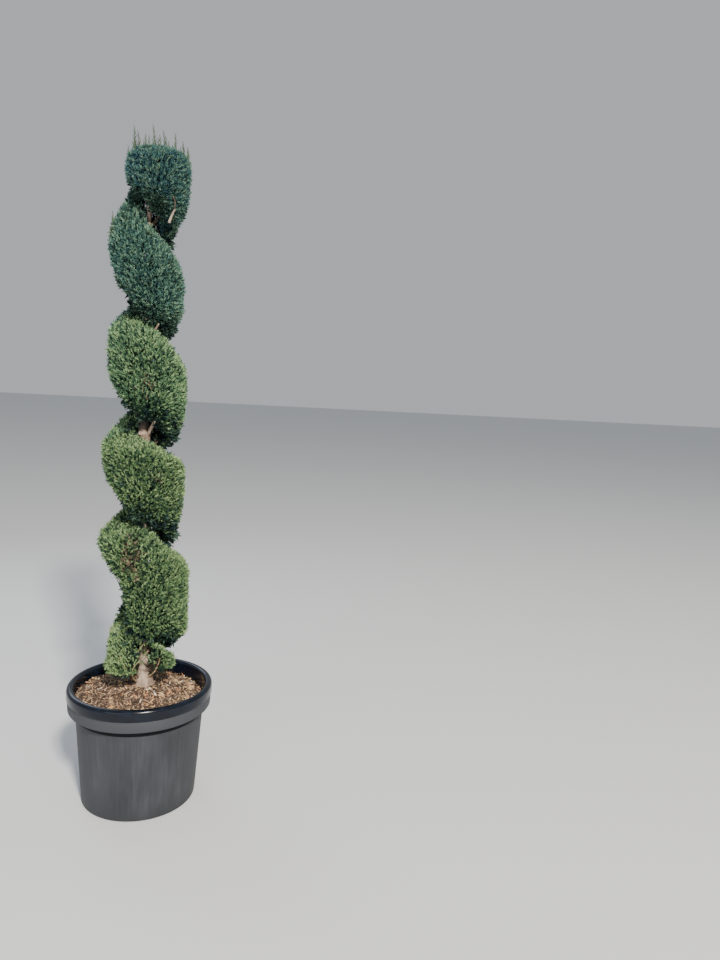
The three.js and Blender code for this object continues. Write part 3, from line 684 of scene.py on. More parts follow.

# %% [markdown]
# The trunk is one straight pole with a slight shift near its foot, a root flare of five lobes, and
# a swelling where an old top was cut back. Cypress bark is thin and stringy, so the relief is
# long shallow fissures along the grain, 3 to 9 mm apart. They are real geometry: a fine grid
# round the pole, raised by waves that run down it and wander. Small collars stand where the
# boughs leave it. Under one mass a number on the mesh darkens the bark, as painted shade.

# %% Trunk
TRUNK_TIP_Z, TRUNK_FOOT_X, TRUNK_X, TRUNK_SHIFT = 2362, 12, -5, 700
TRUNK_RADII = [(0, 33), (0.019, 29.5), (0.039, 26.5), (0.067, 21), (0.09, 20), (0.47, 18.5),
               (0.49, 20.5), (0.51, 17), (0.69, 13), (0.89, 7.5), (1, 3.5)]
FLARE_HEIGHT, FLARE_LOBES, FLARE_DEPTH = 50, 5, 0.08
# The last two numbers place a band of painted shade on the trunk, under the mass above one groove.
FISSURE_DEPTH, FISSURE_SHARE, FISSURE_MEAN, GROOVE_SHADE_Z, GROOVE_SHADE_SPAN = 2.6, 0.12, 0.62, 1424, 24
COLLAR_DEPTH, COLLAR_WIDTH, COLLAR_HEIGHT, COLLAR_RISE = 2.2, 9, 12, 6
TRUNK_SIDES, FINE_HEIGHT, FINE_STEP, STEP = 60, 60, 3, 7
BOUGH_TURNS, LOWEST_BOUGH_Z = [0.625 + 0.25 * i for i in range(23)], 448


def trunk_centre(z):
    shift = smoothstep(TRUNK_FOOT_Z, TRUNK_FOOT_Z + TRUNK_SHIFT, z)
    return TRUNK_FOOT_X + (TRUNK_X - TRUNK_FOOT_X) * shift


def trunk_radius(z):
    return np.interp((z - TRUNK_FOOT_Z) / (TRUNK_TIP_Z - TRUNK_FOOT_Z), *zip(*TRUNK_RADII))


def fissures(angle, z, seed):
    """Stringy relief from 0 to 1 that runs along the grain and closes on itself."""
    ways = np.random.default_rng(seed)
    total = np.zeros_like(angle + z)
    for lobes in (7, 11, 13, 17, 23):
        wander = 0.9 * np.sin(z / ways.uniform(35, 90) + ways.uniform(0, 6))
        wave = np.sin(lobes * angle + lobes * 0.12 * wander + ways.uniform(0, 6))
        total += np.abs(wave) * (0.6 + 0.4 * np.sin(z / ways.uniform(12, 40) + ways.uniform(0, 6)))
    return total / 5


bough_root_z = [max(float(groove_z(t)), LOWEST_BOUGH_Z) for t in BOUGH_TURNS]
fine_top = TRUNK_FOOT_Z + FINE_HEIGHT
heights = np.concatenate([np.arange(TRUNK_FOOT_Z, fine_top, FINE_STEP),
                          np.arange(fine_top, TRUNK_TIP_Z, STEP), [TRUNK_TIP_Z]])
angle = np.arange(TRUNK_SIDES)[None, :] * TURN / TRUNK_SIDES
z = heights[:, None]
radius = np.repeat(trunk_radius(z), TRUNK_SIDES, 1)
flare = 1 - smoothstep(TRUNK_FOOT_Z, TRUNK_FOOT_Z + FLARE_HEIGHT, z)
radius = radius * (1 + FLARE_DEPTH * flare * np.cos(FLARE_LOBES * angle + 1))
fissure_depth = np.minimum(FISSURE_DEPTH, FISSURE_SHARE * trunk_radius(z))
radius += (fissures(angle, z, 3) - FISSURE_MEAN) * fissure_depth
for turn, root_z in zip(BOUGH_TURNS, bough_root_z):
    away = np.angle(np.exp(1j * (angle - turn * TURN))) * radius / COLLAR_WIDTH
    above = (z - root_z - COLLAR_RISE) / COLLAR_HEIGHT
    radius += COLLAR_DEPTH * np.exp(-away ** 2 - above ** 2)
grid = np.stack([trunk_centre(z) + radius * np.cos(angle), radius * np.sin(angle),
                 np.repeat(z, TRUNK_SIDES, 1)], -1).reshape(-1, 3)
ends = [(float(trunk_centre(TRUNK_FOOT_Z)), 0, TRUNK_FOOT_Z), (TRUNK_X, 0, TRUNK_TIP_Z + 3)]
points = np.concatenate([grid, ends])
faces = [*ring_faces(len(heights), TRUNK_SIDES), *fan(len(grid), 0, TRUNK_SIDES, flip=True),
         *fan(len(grid) + 1, len(grid) - TRUNK_SIDES, TRUNK_SIDES)]

bark, tree, shader = new_material("cypress_bark", 0.88, "#8D7565")
strings = stretched_noise(tree, 190, (1, 1, 0.09), 5, 0.65)
patches = stretched_noise(tree, 24, (1, 1, 0.4))
tone = add(tree, "ShaderNodeMath", {0: strings, 1: patches}, operation="ADD")
half = add(tree, "ShaderNodeMath", {0: tone, 1: 0.5}, operation="MULTIPLY")
# A number on the mesh darkens the bark here: painted shade under a mass.
groove_shade = add(tree, "ShaderNodeAttribute", attribute_name="groove_shade").outputs["Fac"]
tone = add(tree, "ShaderNodeMath", {0: groove_shade, 1: -0.4, 2: half}, operation="MULTIPLY_ADD")
ramp(tree, tone, [(0.05, "#2B2621"), (0.33, "#6E5A49"), (0.45, "#A08976"), (0.55, "#C0AA97"),
                  (0.68, "#DACAB8")], shader)
bump(tree, shader, strings, 1.2, 0.9)
trunk = plain_mesh("trunk_bark", points * MM, faces, [bark], smooth=True)
# The band of painted shade, strongest at its height and fading above and below.
groove_shade_share = np.exp(-((points[:, 2] - GROOVE_SHADE_Z) / GROOVE_SHADE_SPAN) ** 2).astype(np.float32)
trunk.data.attributes.new("groove_shade", "FLOAT", "POINT").data.foreach_set("value", groove_shade_share)
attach(trunk, "root")
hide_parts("trunk")
print("trunk triangles:", triangles(trunk))

# %% [markdown]
# Boughs, twigs and leaders are all tapering lines, so one function makes a tube along a path with
# a radius at each point. A bough leaves the trunk in the groove, bends up and runs on inside its
# mass, which the solids show only as far as the mass begins. One dead bough was cut back in the
# top groove and hangs there.

# %% Tubes along a path
BOUGH_REACH, BOUGH_RISE, BOUGH_BEND_SHARE, BOUGH_TAKE_OFF, BOUGH_COVER = 84, 105, 0.6, 34, 46
BOUGH_RADII, BOUGH_SWELL, BOUGH_STEPS, BOUGH_SIDES = (6, 2.8), [3.0, 2.4, 1.6, 0.8, 0.3], 20, 14
DEAD_BOUGH = [(-4, -2, 2240), (92, -98, 2238), (78, -92, 2162)]


def tube(path, radii, sides):
    """Points and faces of a closed tube along a path, with a radius at each point."""
    path = np.asarray(path, float)
    along = np.gradient(path, axis=0)
    along /= np.linalg.norm(along, axis=1, keepdims=True) + 1e-9
    is_upright = abs(along[:, 2]).mean() > 0.9
    side = np.cross(along, np.array([0.31, 0.57, 0.76]) if is_upright else np.array([0, 0, 1.0]))
    side /= np.linalg.norm(side, axis=1, keepdims=True) + 1e-9
    over = np.cross(along, side)
    angles = (np.arange(sides) * TURN / sides)[None, :, None]
    ring = side[:, None] * np.cos(angles) - over[:, None] * np.sin(angles)
    points = (path[:, None] + ring * np.asarray(radii)[:, None, None]).reshape(-1, 3)
    ends = [tuple(range(sides)), tuple(reversed(range(len(points) - sides, len(points))))]
    return points, ring_faces(len(path), sides, flip=True) + ends


def barked_tube(path, radii, sides, step, depth, seed):
    """A tube with fissures along it, where step is the length of bark from ring to ring."""
    points, faces = tube(path, radii, sides)
    angles = np.tile(np.arange(sides) * TURN / sides, len(path))
    along = np.repeat(np.arange(len(path)) * step, sides)
    relief = 1 + depth * (fissures(angles, along, seed) - 0.6)
    centre = np.repeat(path, sides, axis=0)
    return centre + (points - centre) * relief[:, None], faces


def bend_path(start, middle, end, steps):
    """A quadratic curve between two points, pulled towards a third."""
    s = np.linspace(0, 1, steps + 1)[:, None]
    return (1 - s) ** 2 * start + 2 * s * (1 - s) * middle + s ** 2 * end


def bough_path(turn, root_z):
    """The line of a bough, which stops short of the clipped face of the band it feeds."""
    reach = min(1.0, (float(at_band(OUTER_RADIUS, turn - 1)) - BOUGH_COVER) / BOUGH_REACH)
    out = np.array([math.cos(turn * TURN), math.sin(turn * TURN), 0]) * BOUGH_REACH
    root = np.array([float(trunk_centre(root_z)), 0, root_z])
    return bend_path(root, out * BOUGH_BEND_SHARE + [0, 0, root_z + BOUGH_TAKE_OFF],
                     out * reach + [0, 0, root_z + BOUGH_RISE * reach], BOUGH_STEPS)


twig_bark = grained("cypress_twig_bark", 0.85, "#7A6250", (160, (1, 1, 0.3)),
                    [(0.35, "#2C241D"), (0.5, "#473B2F"), (0.68, "#6A5A49")])[0]
parts = []
for n, (turn, root_z) in enumerate(zip(BOUGH_TURNS, bough_root_z)):
    radii = np.linspace(*BOUGH_RADII, BOUGH_STEPS + 1)
    radii[:len(BOUGH_SWELL)] += BOUGH_SWELL
    parts.append(barked_tube(bough_path(turn, root_z), radii, BOUGH_SIDES, step=6.0, depth=0.22,
                             seed=40 + n))
parts.append(tube(bend_path(*np.array(DEAD_BOUGH, float), 12), np.linspace(4.4, 2.4, 13), 8))
boughs = joined_mesh("bough_bark", parts, twig_bark, smooth=True)
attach(boughs, "root")
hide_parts(*[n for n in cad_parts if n.startswith("bough_")])
print("bough triangles:", triangles(boughs))

# %% [markdown]
# Pruning has left stubs in the grooves: a sawn knob on the trunk where an early top was taken
# out, and short snags of cut boughs, in the same bark as the trunk. Each is a short tube with a
# flat end, given by its two ends and their radii.

# %% Pruned stubs
CUT_STUBS = [
    ((-2, -6, 1356), (-11, -24, 1390), 17, 18), ((-11, -24, 1388), (-13, -27, 1398), 18, 12),
    ((8, -22, 1388), (30, -62, 1438), 6, 5), ((-2, -16, 1006), (2, -62, 1062), 8, 6),
    ((62, -62, 2126), (79, -94, 2164), 4.8, 2.4), ((-2, -8, 1706), (34, -64, 1776), 5, 3.2),
    ((2, -20, 600), (16, -92, 655), 7, 4.5),
]
parts = []
for n, (start, end, *radii) in enumerate(CUT_STUBS):
    start, end = np.array(start, float), np.array(end, float)
    path = bend_path(start, (start + end) / 2 + [0, 0, 3], end, 5)
    parts.append(barked_tube(path, np.linspace(*radii, 6), 12, step=7.0, depth=0.2, seed=80 + n))
stubs = joined_mesh("pruned_stubs", parts, bark)
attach(stubs, "root")
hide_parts("trunk")
print("stub triangles:", triangles(stubs))

# %% [markdown]
# A few low shoots near the foot have died back to bare, bleached wood. They start on the trunk,
# bend out and up, and cross the thin front of the foliage.

# %% Bare low shoots
BARE_SHOOTS = [
    [(-17, -24, 452), (-31, -66, 492), (-27, -86, 533), (-4, -84, 560), (24, -78, 592)],
    [(-14, -18, 466), (-44, -56, 496), (-57, -76, 530), (-66, -84, 552), (-76, -90, 576)],
    [(6, -20, 560), (20, -70, 632), (2, -88, 616), (-16, -92, 592)],
    [(16, -20, 462), (44, -44, 492), (58, -60, 524), (66, -74, 560)],
]
dry_wood = grained("bleached_dead_wood", 0.85, "#B89B70", (160, (1, 1, 0.3)),
                   [(0.35, "#8C7452"), (0.5, "#B39A74"), (0.68, "#D0BC94")])[0]
parts = []
for corners in BARE_SHOOTS:
    at = np.linspace(0, len(corners) - 1, 6 * len(corners))
    path = np.stack([through(axis, 0, 1, at) for axis in zip(*corners)], -1)
    parts.append(tube(path, np.linspace(3.0, 1.5, len(path)), 6))
bare = joined_mesh("bare_low_shoots", parts, dry_wood, smooth=True)
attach(bare, "root")
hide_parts("trunk")
print("bare shoot triangles:", triangles(bare))

# %% [markdown]
# Cypress leaves are scales that hug the shoots, so what the eye takes for a leaf is a shoot the
# width of a match. A spray is a short stem with shoots all round it, shorter towards its tip.
# Each is a slim folded diamond of two triangles, and the whole spray has 14 to 18, because there
# are tens of thousands. Inside the mass the light is poor, so the sprays are few, with broader
# shoots. They close the view through the plant.

# %% Sprays
SPRAY_COUNT = 10


def spray_shape(name, seed, shoots, length, long, wide, spread):
    """One spray standing on the origin along +Z, in millimetres."""
    chance = random.Random(seed)
    points, faces = [], []
    lean = Vector((chance.uniform(-0.2, 0.2), chance.uniform(-0.2, 0.2), 0))

    def shoot(s, way, reach, width):
        root = Vector((0, 0, length * s)) + lean * length * s * s
        way = way.normalized()
        across = way.cross(Vector([chance.uniform(-1, 1) for _ in range(3)])).normalized()
        fold = way.cross(across) * width * 0.3
        middle = root + way * reach * 0.5 + fold
        half = across * width / 2
        base = len(points)
        points.extend([root, middle + half, root + way * reach, middle - half])
        faces.extend([(base, base + 1, base + 2), (base, base + 2, base + 3)])

    for i in range(shoots):
        s = (i + 0.6) / shoots
        angle = 2.4 * i + chance.uniform(-0.5, 0.5)
        out = Vector((math.cos(angle), math.sin(angle), 0)) * spread * chance.uniform(0.6, 1.1)
        reach = long * (1.15 - 0.45 * s) * chance.uniform(0.75, 1.25)
        shoot(0.08 + 0.8 * s, Vector((0, 0, 1)) + out, reach, wide * chance.uniform(0.8, 1.2))
    shoot(0.8, Vector((lean.x, lean.y, 1)), length * 0.25, wide)
    shoot(0, Vector((lean.x / 2, lean.y / 2, 1)), length * 0.9, wide)
    return plain_mesh(name, np.array([tuple(p) for p in points]) * MM, faces)


spray_shapes = bpy.data.collections.new("spray_shapes")
inner_shapes = bpy.data.collections.new("inner_spray_shapes")
for n in range(SPRAY_COUNT):
    spray = spray_shape(f"spray_{n}", n, shoots=5 + n % 3, length=15.5 + 1.5 * (n % 4), long=9.6,
                        wide=2.6, spread=0.5 + 0.08 * (n % 3))
    store_hidden(spray, spray_shapes)
    inner_spray = spray_shape(f"inner_spray_{n}", 50 + n, shoots=12, length=34, long=26,
                              wide=10.0, spread=0.85)
    store_hidden(inner_spray, inner_shapes)

# %% [markdown]
# The clipped skin of a band is what the sprays grow from. It is laid out as a grid of turns and
# rows, closed round the side at the trunk, and carries four numbers at each point: the way that
# growth heads there, how thickly it is covered, how dead it is, and its painted light, which deals
# paler greens to faces turned up, right or forward, to undersides high up and to the foot's left.
# Growth heads up and outwards, and hangs out below the undercut. A few patches at the front are
# partly dead, and the front of the foot is thin, so that the trunk shows.

# %% Skin of a mass
STEPS_A_TURN, ROWS, BACK_ROWS = 84, 26, 6
UP_PULL, OUT_PULL, LOW_PULL = 1.0, 0.85, 0.35
TOP_TRIM, THIN_TURN, THIN_TOP_Z = 15, 4.76, 640
# Paler greens at the foot's left: painted light.
FOOT_PAINTED_LIGHT, FOOT_LIGHT_TURNS = 0.34, (4.35, 4.5, 4.7, 4.85)
DEAD_SPOTS = [(-44, 1020, 26, 34, 0.45), (-42, 950, 38, 70, 0.55), (-7, 1556, 34, 50, 0.3),
              (40, 1232, 20, 26, 0.3)]
BARE_PATCHES = [(53, 12, -45, 565, 0.12), (TRUNK_FOOT_X, 30, 0, 548, 0.04)]
DEEP_INSET, BACK_COVER, DEEP_BACK_COVER = 30, 0.12, 0.35
CORE_RADIUS, CORE_FADE, CORE_COVER, THIN_LOSS, THIN_SPAN, DEAD_LOSS = 26, 30, 0.1, 0.85, 0.1, 0.25
# How much paler the greens are dealt by the way a face turns: painted light.
UP_LIGHT, RIGHT_LIGHT, FRONT_LIGHT = 0.08, 0.03, 0.05
DOWN_LIGHT_TURNS, DOWN_LIGHT = [0.9, 1.6], [0.24, -0.06]


def cover_and_death(x, y, z, turn, is_back, inset):
    """How thickly the skin is covered, from 0 to 1, and how much of it is dead."""
    edge = np.clip((np.hypot(x, y) - CORE_RADIUS) / CORE_FADE, CORE_COVER, 1)
    cover = np.where(is_back, DEEP_BACK_COVER if inset > DEEP_INSET else BACK_COVER, 1.0)
    cover = cover * np.maximum(edge, smoothstep(*CROWN_SHUT_Z, z))
    thin = THIN_LOSS * np.exp(-((turn - THIN_TURN) / THIN_SPAN) ** 2)
    cover = cover * (1 - thin * (z < THIN_TOP_Z))
    kept, dead = np.ones(len(x)), np.zeros(len(x))
    for patch_x, half_width, behind_y, top_z, share in BARE_PATCHES:
        is_bare = (abs(x - patch_x) < half_width) & (y < behind_y) & (z < top_z)
        kept = np.where(is_bare, share, kept)
    for spot_x, spot_z, wide, high, strength in DEAD_SPOTS:
        near = ((x - spot_x) / wide) ** 2 + ((z - spot_z) / high) ** 2
        dead = np.maximum(dead, strength * np.clip(1.25 - near, 0, 1) * (y < 0))
    return cover * kept * (1 - DEAD_LOSS * dead), dead


def skin_mesh(start, end, inset=SKIN_INSET):
    """The skin of a mass between two turns, with its growing numbers."""
    steps = max(int((end - start) * STEPS_A_TURN), 12)
    turns = np.linspace(start, end, steps + 1)[:, None]
    shares = 0.5 - 0.5 * np.cos(math.pi * np.arange(ROWS) / (ROWS - 1))
    outside = on_skin(*np.broadcast_arrays(turns, shares), inset)
    back = np.linspace(1, 0, BACK_ROWS + 2)[1:-1]
    top, foot = band_ends(turns, inset)
    back_z = top + (foot - top) * back
    back_radius = inner_radius(back_z) - 3 + 20 * back
    inside = np.stack([back_radius * np.cos(turns * TURN), back_radius * np.sin(turns * TURN),
                       back_z], -1)
    spots = np.concatenate([outside, inside], 1).reshape(-1, 3)
    ring = ROWS + BACK_ROWS
    skin = plain_mesh("skin", spots * MM, ring_faces(steps + 1, ring))
    mesh = skin.data
    normals = np.zeros(len(spots) * 3, np.float32)
    mesh.vertices.foreach_get("normal", normals)
    normals = normals.reshape(-1, 3)
    out = spots * [1, 1, 0] / (np.linalg.norm(spots[:, :2], axis=1, keepdims=True) + 1e-6)
    if (normals * out)[ROWS // 2::ring].sum() < 0:
        mesh.flip_normals()
        normals = -normals
    below = np.clip(-1.4 * normals[:, 2:], 0, 1)
    open_growth = np.array([0, 0, UP_PULL]) + OUT_PULL * normals
    low_growth = out + np.array([0, 0, LOW_PULL]) + 0.3 * normals
    growth = open_growth * (1 - below) + low_growth * below
    growth /= np.linalg.norm(growth, axis=1, keepdims=True)
    turn = np.repeat(turns, ring)
    is_back = np.tile(np.arange(ring) >= ROWS, steps + 1)
    cover, dead = cover_and_death(*spots.T, turn, is_back, inset)
    # Painted light: greens dealt paler by the way a face turns, and at the foot's left.
    down_light = np.interp(turn, DOWN_LIGHT_TURNS, DOWN_LIGHT)
    light = UP_LIGHT * np.maximum(normals[:, 2], 0) + down_light * np.maximum(-normals[:, 2], 0)
    light = light + RIGHT_LIGHT * normals[:, 0] - FRONT_LIGHT * normals[:, 1]
    foot_light_from, foot_light_full, fade_from, fade_end = FOOT_LIGHT_TURNS
    light = light + FOOT_PAINTED_LIGHT * smoothstep(foot_light_from, foot_light_full, turn) * (
        1 - smoothstep(fade_from, fade_end, turn))
    trimmed = spots - normals * TOP_TRIM * np.maximum(normals[:, 2:], 0)
    mesh.vertices.foreach_set("co", (trimmed * MM).astype(np.float32).ravel())
    mesh.update()
    for (label, kind), values in zip(GROWING_NUMBERS.items(), (growth, cover, dead, light)):
        attribute = mesh.attributes.new(label, kind, "POINT").data
        attribute.foreach_set("vector" if kind == "FLOAT_VECTOR" else "value",
                              values.astype(np.float32).ravel())
    return skin


# %% [markdown]
# Foliage colour is dealt out by spray. The top is a deep blue-green, and each zone below it is
# fresher and more yellow. Every zone has four greens of its own, from a shaded to a lit green:
# partly chance tone, partly painted light and shade. All share two browns for what has died, and
# the inside has four dark greens of painted shade. Real scale leaves have a dull wax on
# them, which gives a broad, weak shine: a middling roughness and no more.

# %% Foliage finishes
# Each zone's greens run from painted shade to painted light; the inside's are painted shade.
GREENS = {
    "top": ["#1A303C", "#2C4F58", "#446A66", "#63826F"],
    "high": ["#1F3338", "#375858", "#507668", "#709178"],
    "middle": ["#263C36", "#476850", "#6A8D66", "#92AE7D"],
    "low": ["#283E33", "#49664C", "#6D8B5D", "#95AE79"],
    "inside_painted_shade": ["#182A2B", "#233833", "#2F463C", "#3D5446"],
}
DEAD_BROWNS = ["#4E463A", "#8A7D66"]


def leaf_finishes(name, colours):
    return [new_material(f"{name}_{i}", 0.62, colour, **{"Specular IOR Level": 0.22})[0]
            for i, colour in enumerate(colours)]


dead_finishes = leaf_finishes("dead_cypress_leaf", DEAD_BROWNS)
zone_finishes = {zone: leaf_finishes(f"cypress_leaf_{zone}", colours) + dead_finishes
                 for zone, colours in GREENS.items()}
print("leaf finishes:", {zone: len(finishes) for zone, finishes in zone_finishes.items()})

# %% [markdown]
# One tree grows the sprays of every mass. Points are spread evenly over the skin, thinned by its
# cover, and sunk by a noise with lumps of about 50 mm, which leaves the soft hollows of clipped
# foliage. Each point gets a spray that heads the way of its growth, with some wander, a chance
# spin and a chance size. Its green comes from the skin's painted light, from the noise and from
# luck: sprays that sink into a hollow or by luck get darker greens, as painted shade. Past the
# last green come the two browns, for points that are dead.

# %% Tree that grows the sprays
SHADE_LIMITS, LIGHTEST_GREEN, BROWNS = [0.26, 0.52, 0.8, 2.0, 3.0], 1.9, (2.3, 3.7)
LUMP_WEIGHT, LUCK_WEIGHT, HOLLOW_FULL, HOLLOW_NONE = 0.3, 0.85, 0.35, 0.62
HOLLOW_DEPTH, LUCK_DEPTH = 0.5, 0.9
tree, given, spots = node_tree("grow_sprays", "Sink", "Wander", "Smallest", "Largest", "Lump")
growth, cover, dead, light = [
    add(tree, "GeometryNodeInputNamedAttribute", {"Name": label}, data_type=kind)
    for label, kind in GROWING_NUMBERS.items()]
tree.links.new(cover.outputs[0], spots.inputs["Density Factor"])
here = add(tree, "GeometryNodeInputPosition")
per_metre = add(tree, "ShaderNodeMath", {0: 1.0, 1: given["Lump"]}, operation="DIVIDE")
lumps = add(tree, "ShaderNodeTexNoise", {"Vector": here, "Scale": per_metre, "Detail": 2.0})
# Low noise darkens the green, as painted shade, where it also sinks the spray into a hollow.
shade = add(tree, "ShaderNodeMath", {0: lumps, 1: LUMP_WEIGHT, 2: -0.1},
            operation="MULTIPLY_ADD")
# The same luck darkens a spray's green and sinks it deeper: painted shade.
luck = random_value(given, 0.0, 1.0, 1)
shade = add(tree, "ShaderNodeMath", {0: luck, 1: LUCK_WEIGHT, 2: shade},
            operation="MULTIPLY_ADD")
# The skin's painted light makes a spray's green paler.
shade = add(tree, "ShaderNodeMath", {0: shade, 1: light}, operation="ADD")
shade = add(tree, "ShaderNodeMath", {0: shade, 1: LIGHTEST_GREEN}, operation="MINIMUM")
is_dead = add(tree, "FunctionNodeCompare", {0: dead, 1: random_value(given, 0.03, 1.0, 2)},
              operation="GREATER_THAN")
brown = random_value(given, *BROWNS, 3)
deal = add(tree, "GeometryNodeSwitch", {"Switch": is_dead, "False": shade, "True": brown},
           input_type="FLOAT")
dealt = add(tree, "GeometryNodeStoreNamedAttribute", {
    "Geometry": spots, "Name": "deal", "Value": deal})
hollow = add(tree, "ShaderNodeMapRange", {
    "Value": lumps, "From Min": HOLLOW_FULL, "From Max": HOLLOW_NONE,
    "To Min": HOLLOW_DEPTH, "To Max": 0.0})
depth = add(tree, "ShaderNodeMath", {0: luck, 1: -LUCK_DEPTH, 2: LUCK_DEPTH},
            operation="MULTIPLY_ADD")
depth = add(tree, "ShaderNodeMath", {0: hollow, 1: depth}, operation="ADD")
sunk = add(tree, "ShaderNodeMath", {0: depth, 1: given["Sink"]}, operation="MULTIPLY")
back = add(tree, "ShaderNodeMath", {0: sunk, 1: -1.0}, operation="MULTIPLY")
offset = add(tree, "ShaderNodeVectorMath", {0: growth, "Scale": back}, operation="SCALE")
moved = add(tree, "GeometryNodeSetPosition", {"Geometry": dealt, "Offset": offset})
stray = random_value(given, (-1.0, -1.0, -1.0), (1.0, 1.0, 1.0), 5, "FLOAT_VECTOR")
stray = add(tree, "ShaderNodeVectorMath", {0: stray, "Scale": given["Wander"]}, operation="SCALE")
way = add(tree, "ShaderNodeVectorMath", {0: growth, 1: stray}, operation="ADD")
standing = add(tree, "FunctionNodeAlignRotationToVector", {"Vector": way}, axis="Z")
spin = add(tree, "FunctionNodeAxisAngleToRotation", {
    "Axis": (0.0, 0.0, 1.0), "Angle": random_value(given, 0.0, TURN, 6)})
spun = add(tree, "FunctionNodeRotateRotation", {"Rotation": standing, "Rotate By": spin},
           rotation_space="LOCAL")
size = add(tree, "ShaderNodeMapRange", {
    "Value": random_value(given, 0.0, 1.0, 7), "To Min": given["Smallest"],
    "To Max": given["Largest"]})
place_copies(given, moved, SPRAY_COUNT, 8, SHADE_LIMITS, Rotation=spun, Scale=size)
print("nodes in the tree:", len(tree.nodes))

# %% [markdown]
# Each mass of the solids is now replaced by its own sprays. The masses keep their names, so that
# a scene can still find them.

# %% Grow each mass
MASS_TURNS = [GROOVE_START - 1, GROOVE_START, 1, 1.5, 2, 2.5, 3, 3.5, 4, 4.5, FOOT_TURN_END]
MASS_NAMES = ["foliage_top", *[f"foliage_turn{k}_{side}" for k in (1, 2, 3, 4)
                               for side in ("front", "back")], "foliage_foot"]
ZONES = ["top", "high", "high", "middle", "middle"] + ["low"] * 5
for n, (name, zone) in enumerate(zip(MASS_NAMES, ZONES)):
    skin = skin_mesh(*MASS_TURNS[n:n + 2])
    sprays = grown(skin, name + "_sprays", tree, spray_shapes, zone_finishes[zone],
                   Spacing=0.0035, Density=92000.0, Sink=0.0125, Wander=0.55, Smallest=0.75,
                   Largest=1.15, Lump=0.05, Seed=100 + 20 * n)
    bpy.data.objects.remove(skin)
    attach(sprays, "root")
    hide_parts(name)
    print(name, "triangles:", triangles(sprays))

# %% [markdown]
# The coarse sprays of the inside come from the same tree and the same rule, on a skin that lies
# deeper. They are one piece for the whole spiral.

# %% Grow the inside
INNER_INSET = 47
skin = skin_mesh(MASS_TURNS[0], MASS_TURNS[-1], INNER_INSET)
# The inside's dark greens are painted shade.
inner = grown(skin, "inner_sprays", tree, inner_shapes, zone_finishes["inside_painted_shade"], Spacing=0.0109,
              Density=13500.0, Sink=0.012, Wander=0.6, Smallest=0.7, Largest=1.1, Lump=0.05,
              Seed=900)
bpy.data.objects.remove(skin)
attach(inner, "root")
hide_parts(*MASS_NAMES)
print("inner triangles:", triangles(inner))

# %% [markdown]
# Inside each mass, twigs run on from the boughs to the skin. From every bough twenty twigs leave
# at chance places, head up and outwards to a chance place on the skin of their own part of the
# band, and carry two finer twigs each. They show in the grooves, below the undercuts and where
# the foot is thin. Beside the deep cut at the left they leave only from the bough's end, so that
# none crosses the open air.

# %% Twigs
TWIGS_A_BOUGH, TWIG_COVER, FIRST_STEP, FIRST_STEP_AT_CUT = 20, 24, 8, 18
chance = np.random.default_rng(21)
parts = []
for turn, root_z in zip(BOUGH_TURNS, bough_root_z):
    path = bough_path(turn, root_z)
    is_at_cut = abs(turn - 1 - LEFT_LIFT_TURN) < 0.2
    for _ in range(TWIGS_A_BOUGH):
        start = path[chance.integers(FIRST_STEP_AT_CUT if is_at_cut else FIRST_STEP, len(path))]
        there = np.clip(turn - 1 + chance.uniform(-0.15, 0.15),
                        MASS_TURNS[0] + 0.01, FOOT_TURN_END - 0.02)
        goal = on_skin(there, chance.uniform(0.04, 0.96), SKIN_INSET + TWIG_COVER)
        sag = [0, 0, -0.1 * abs(goal[2] - start[2])]
        middle = (start + goal) / 2 + sag + 0.12 * goal * [1, 1, 0]
        twig = bend_path(start, middle, goal, 6)
        parts.append(tube(twig, np.linspace(2.3, 0.9, 7), 4))
        for _ in range(2):
            root = twig[chance.integers(2, 7)]
            out = np.append(root[:2] / (np.linalg.norm(root[:2]) + 1e-6), 0.9)
            way = out + chance.normal(0, 0.45, 3)
            finer = bend_path(root, root + way * 11, root + way * 20 + [0, 0, 5], 3)
            parts.append(tube(finer, [1.0, 0.8, 0.6, 0.35], 3))
twigs = joined_mesh("twigs", parts, twig_bark, smooth=True)
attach(twigs, "root")
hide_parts(*MASS_NAMES)
print("twig triangles:", triangles(twigs))

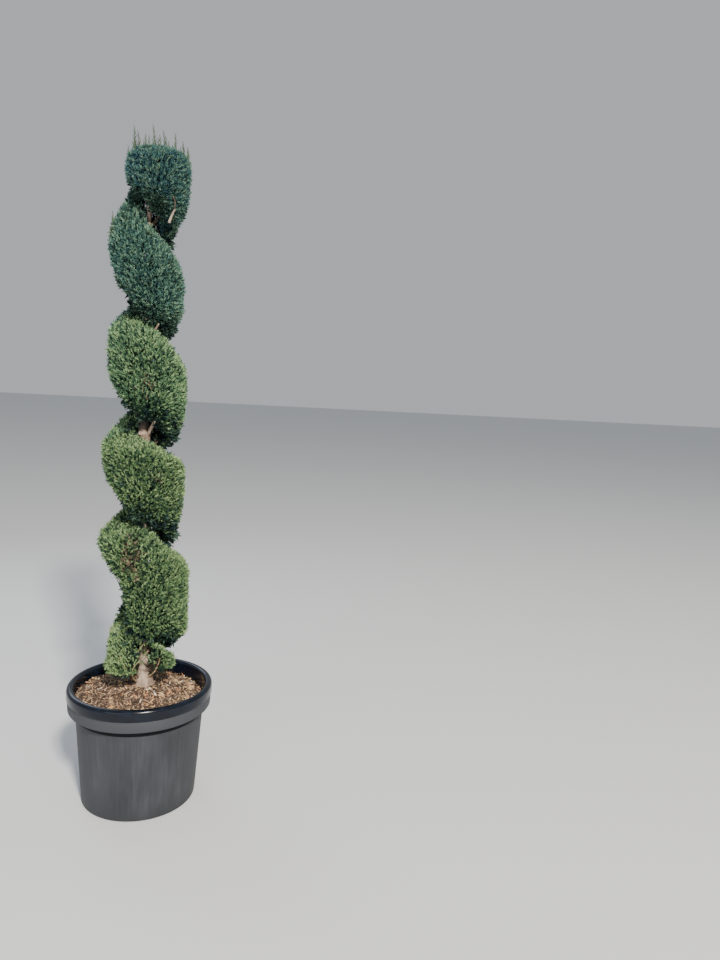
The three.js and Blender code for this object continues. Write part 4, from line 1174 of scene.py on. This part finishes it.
# %% [markdown]
# The shears missed a few leaders, so thin shoots stand up out of the clipped top, with short
# side shoots close along them. They are few, so the table places each by its tip.

# %% Leaders
LEADERS = [(-58, -30, 2440), (-55, 10, 2411), (-41, 0, 2431), (-22, -10, 2424), (11, -34, 2449),
           (46, 10, 2448), (48, -20, 2422), (77, -10, 2442), (104, 0, 2418), (112, -8, 2398),
           (98, 10, 2404), (-80, -12, 2376), (-10, -50, 2410), (30, -60, 2412), (62, 44, 2426),
           (8, 58, 2430), (-30, 44, 2422), (24, 20, 2428), (-128, -20, 2150), (120, -16, 2396),
           (122, 14, 2402)]
LEADER_LENGTH, LEADER_STEPS, SIDE_SHOOTS = 90.0, 8, 44
chance = random.Random(5)
parts = []
for x, y, tip_z in LEADERS:
    root = np.array([x, y, tip_z - LEADER_LENGTH])
    end = np.array([x + chance.uniform(-10, 3), y + chance.uniform(-6, 6), tip_z - 1.0])
    middle = (root + end) / 2 + [chance.uniform(1, 5), chance.uniform(-3, 3), 0]
    path = bend_path(root, middle, end, LEADER_STEPS)
    fullness = chance.uniform(0.8, 1.35)
    parts.append(tube(path, np.linspace(2.2, 0.7, LEADER_STEPS + 1), 4))
    for k in range(SIDE_SHOOTS):
        s = 0.96 * (k / (SIDE_SHOOTS - 1)) ** 1.25
        step, rest = divmod(LEADER_STEPS * s, 1)
        at = path[int(step)] + (path[int(step) + 1] - path[int(step)]) * rest
        out = np.array([math.cos(2.4 * k), math.sin(2.4 * k), 0])
        reach = chance.uniform(17, 25) * (1.15 - 0.85 * s)
        tip = at + out * reach * 0.5 * fullness + [0, 0, min(reach, tip_z - at[2])]
        across = np.array([-out[1], out[0], 0]) * (1.9 - 1.1 * s)
        middle = (at + tip) / 2
        parts.append(([at, middle + across, tip, middle - across], [(0, 1, 2), (0, 2, 3)]))
leaders = joined_mesh("leader_shoots", parts, *leaf_finishes("leader_shoot", ["#4C5B46"]))
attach(leaders, "root")
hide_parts("foliage_top")
print("leader triangles:", triangles(leaders))
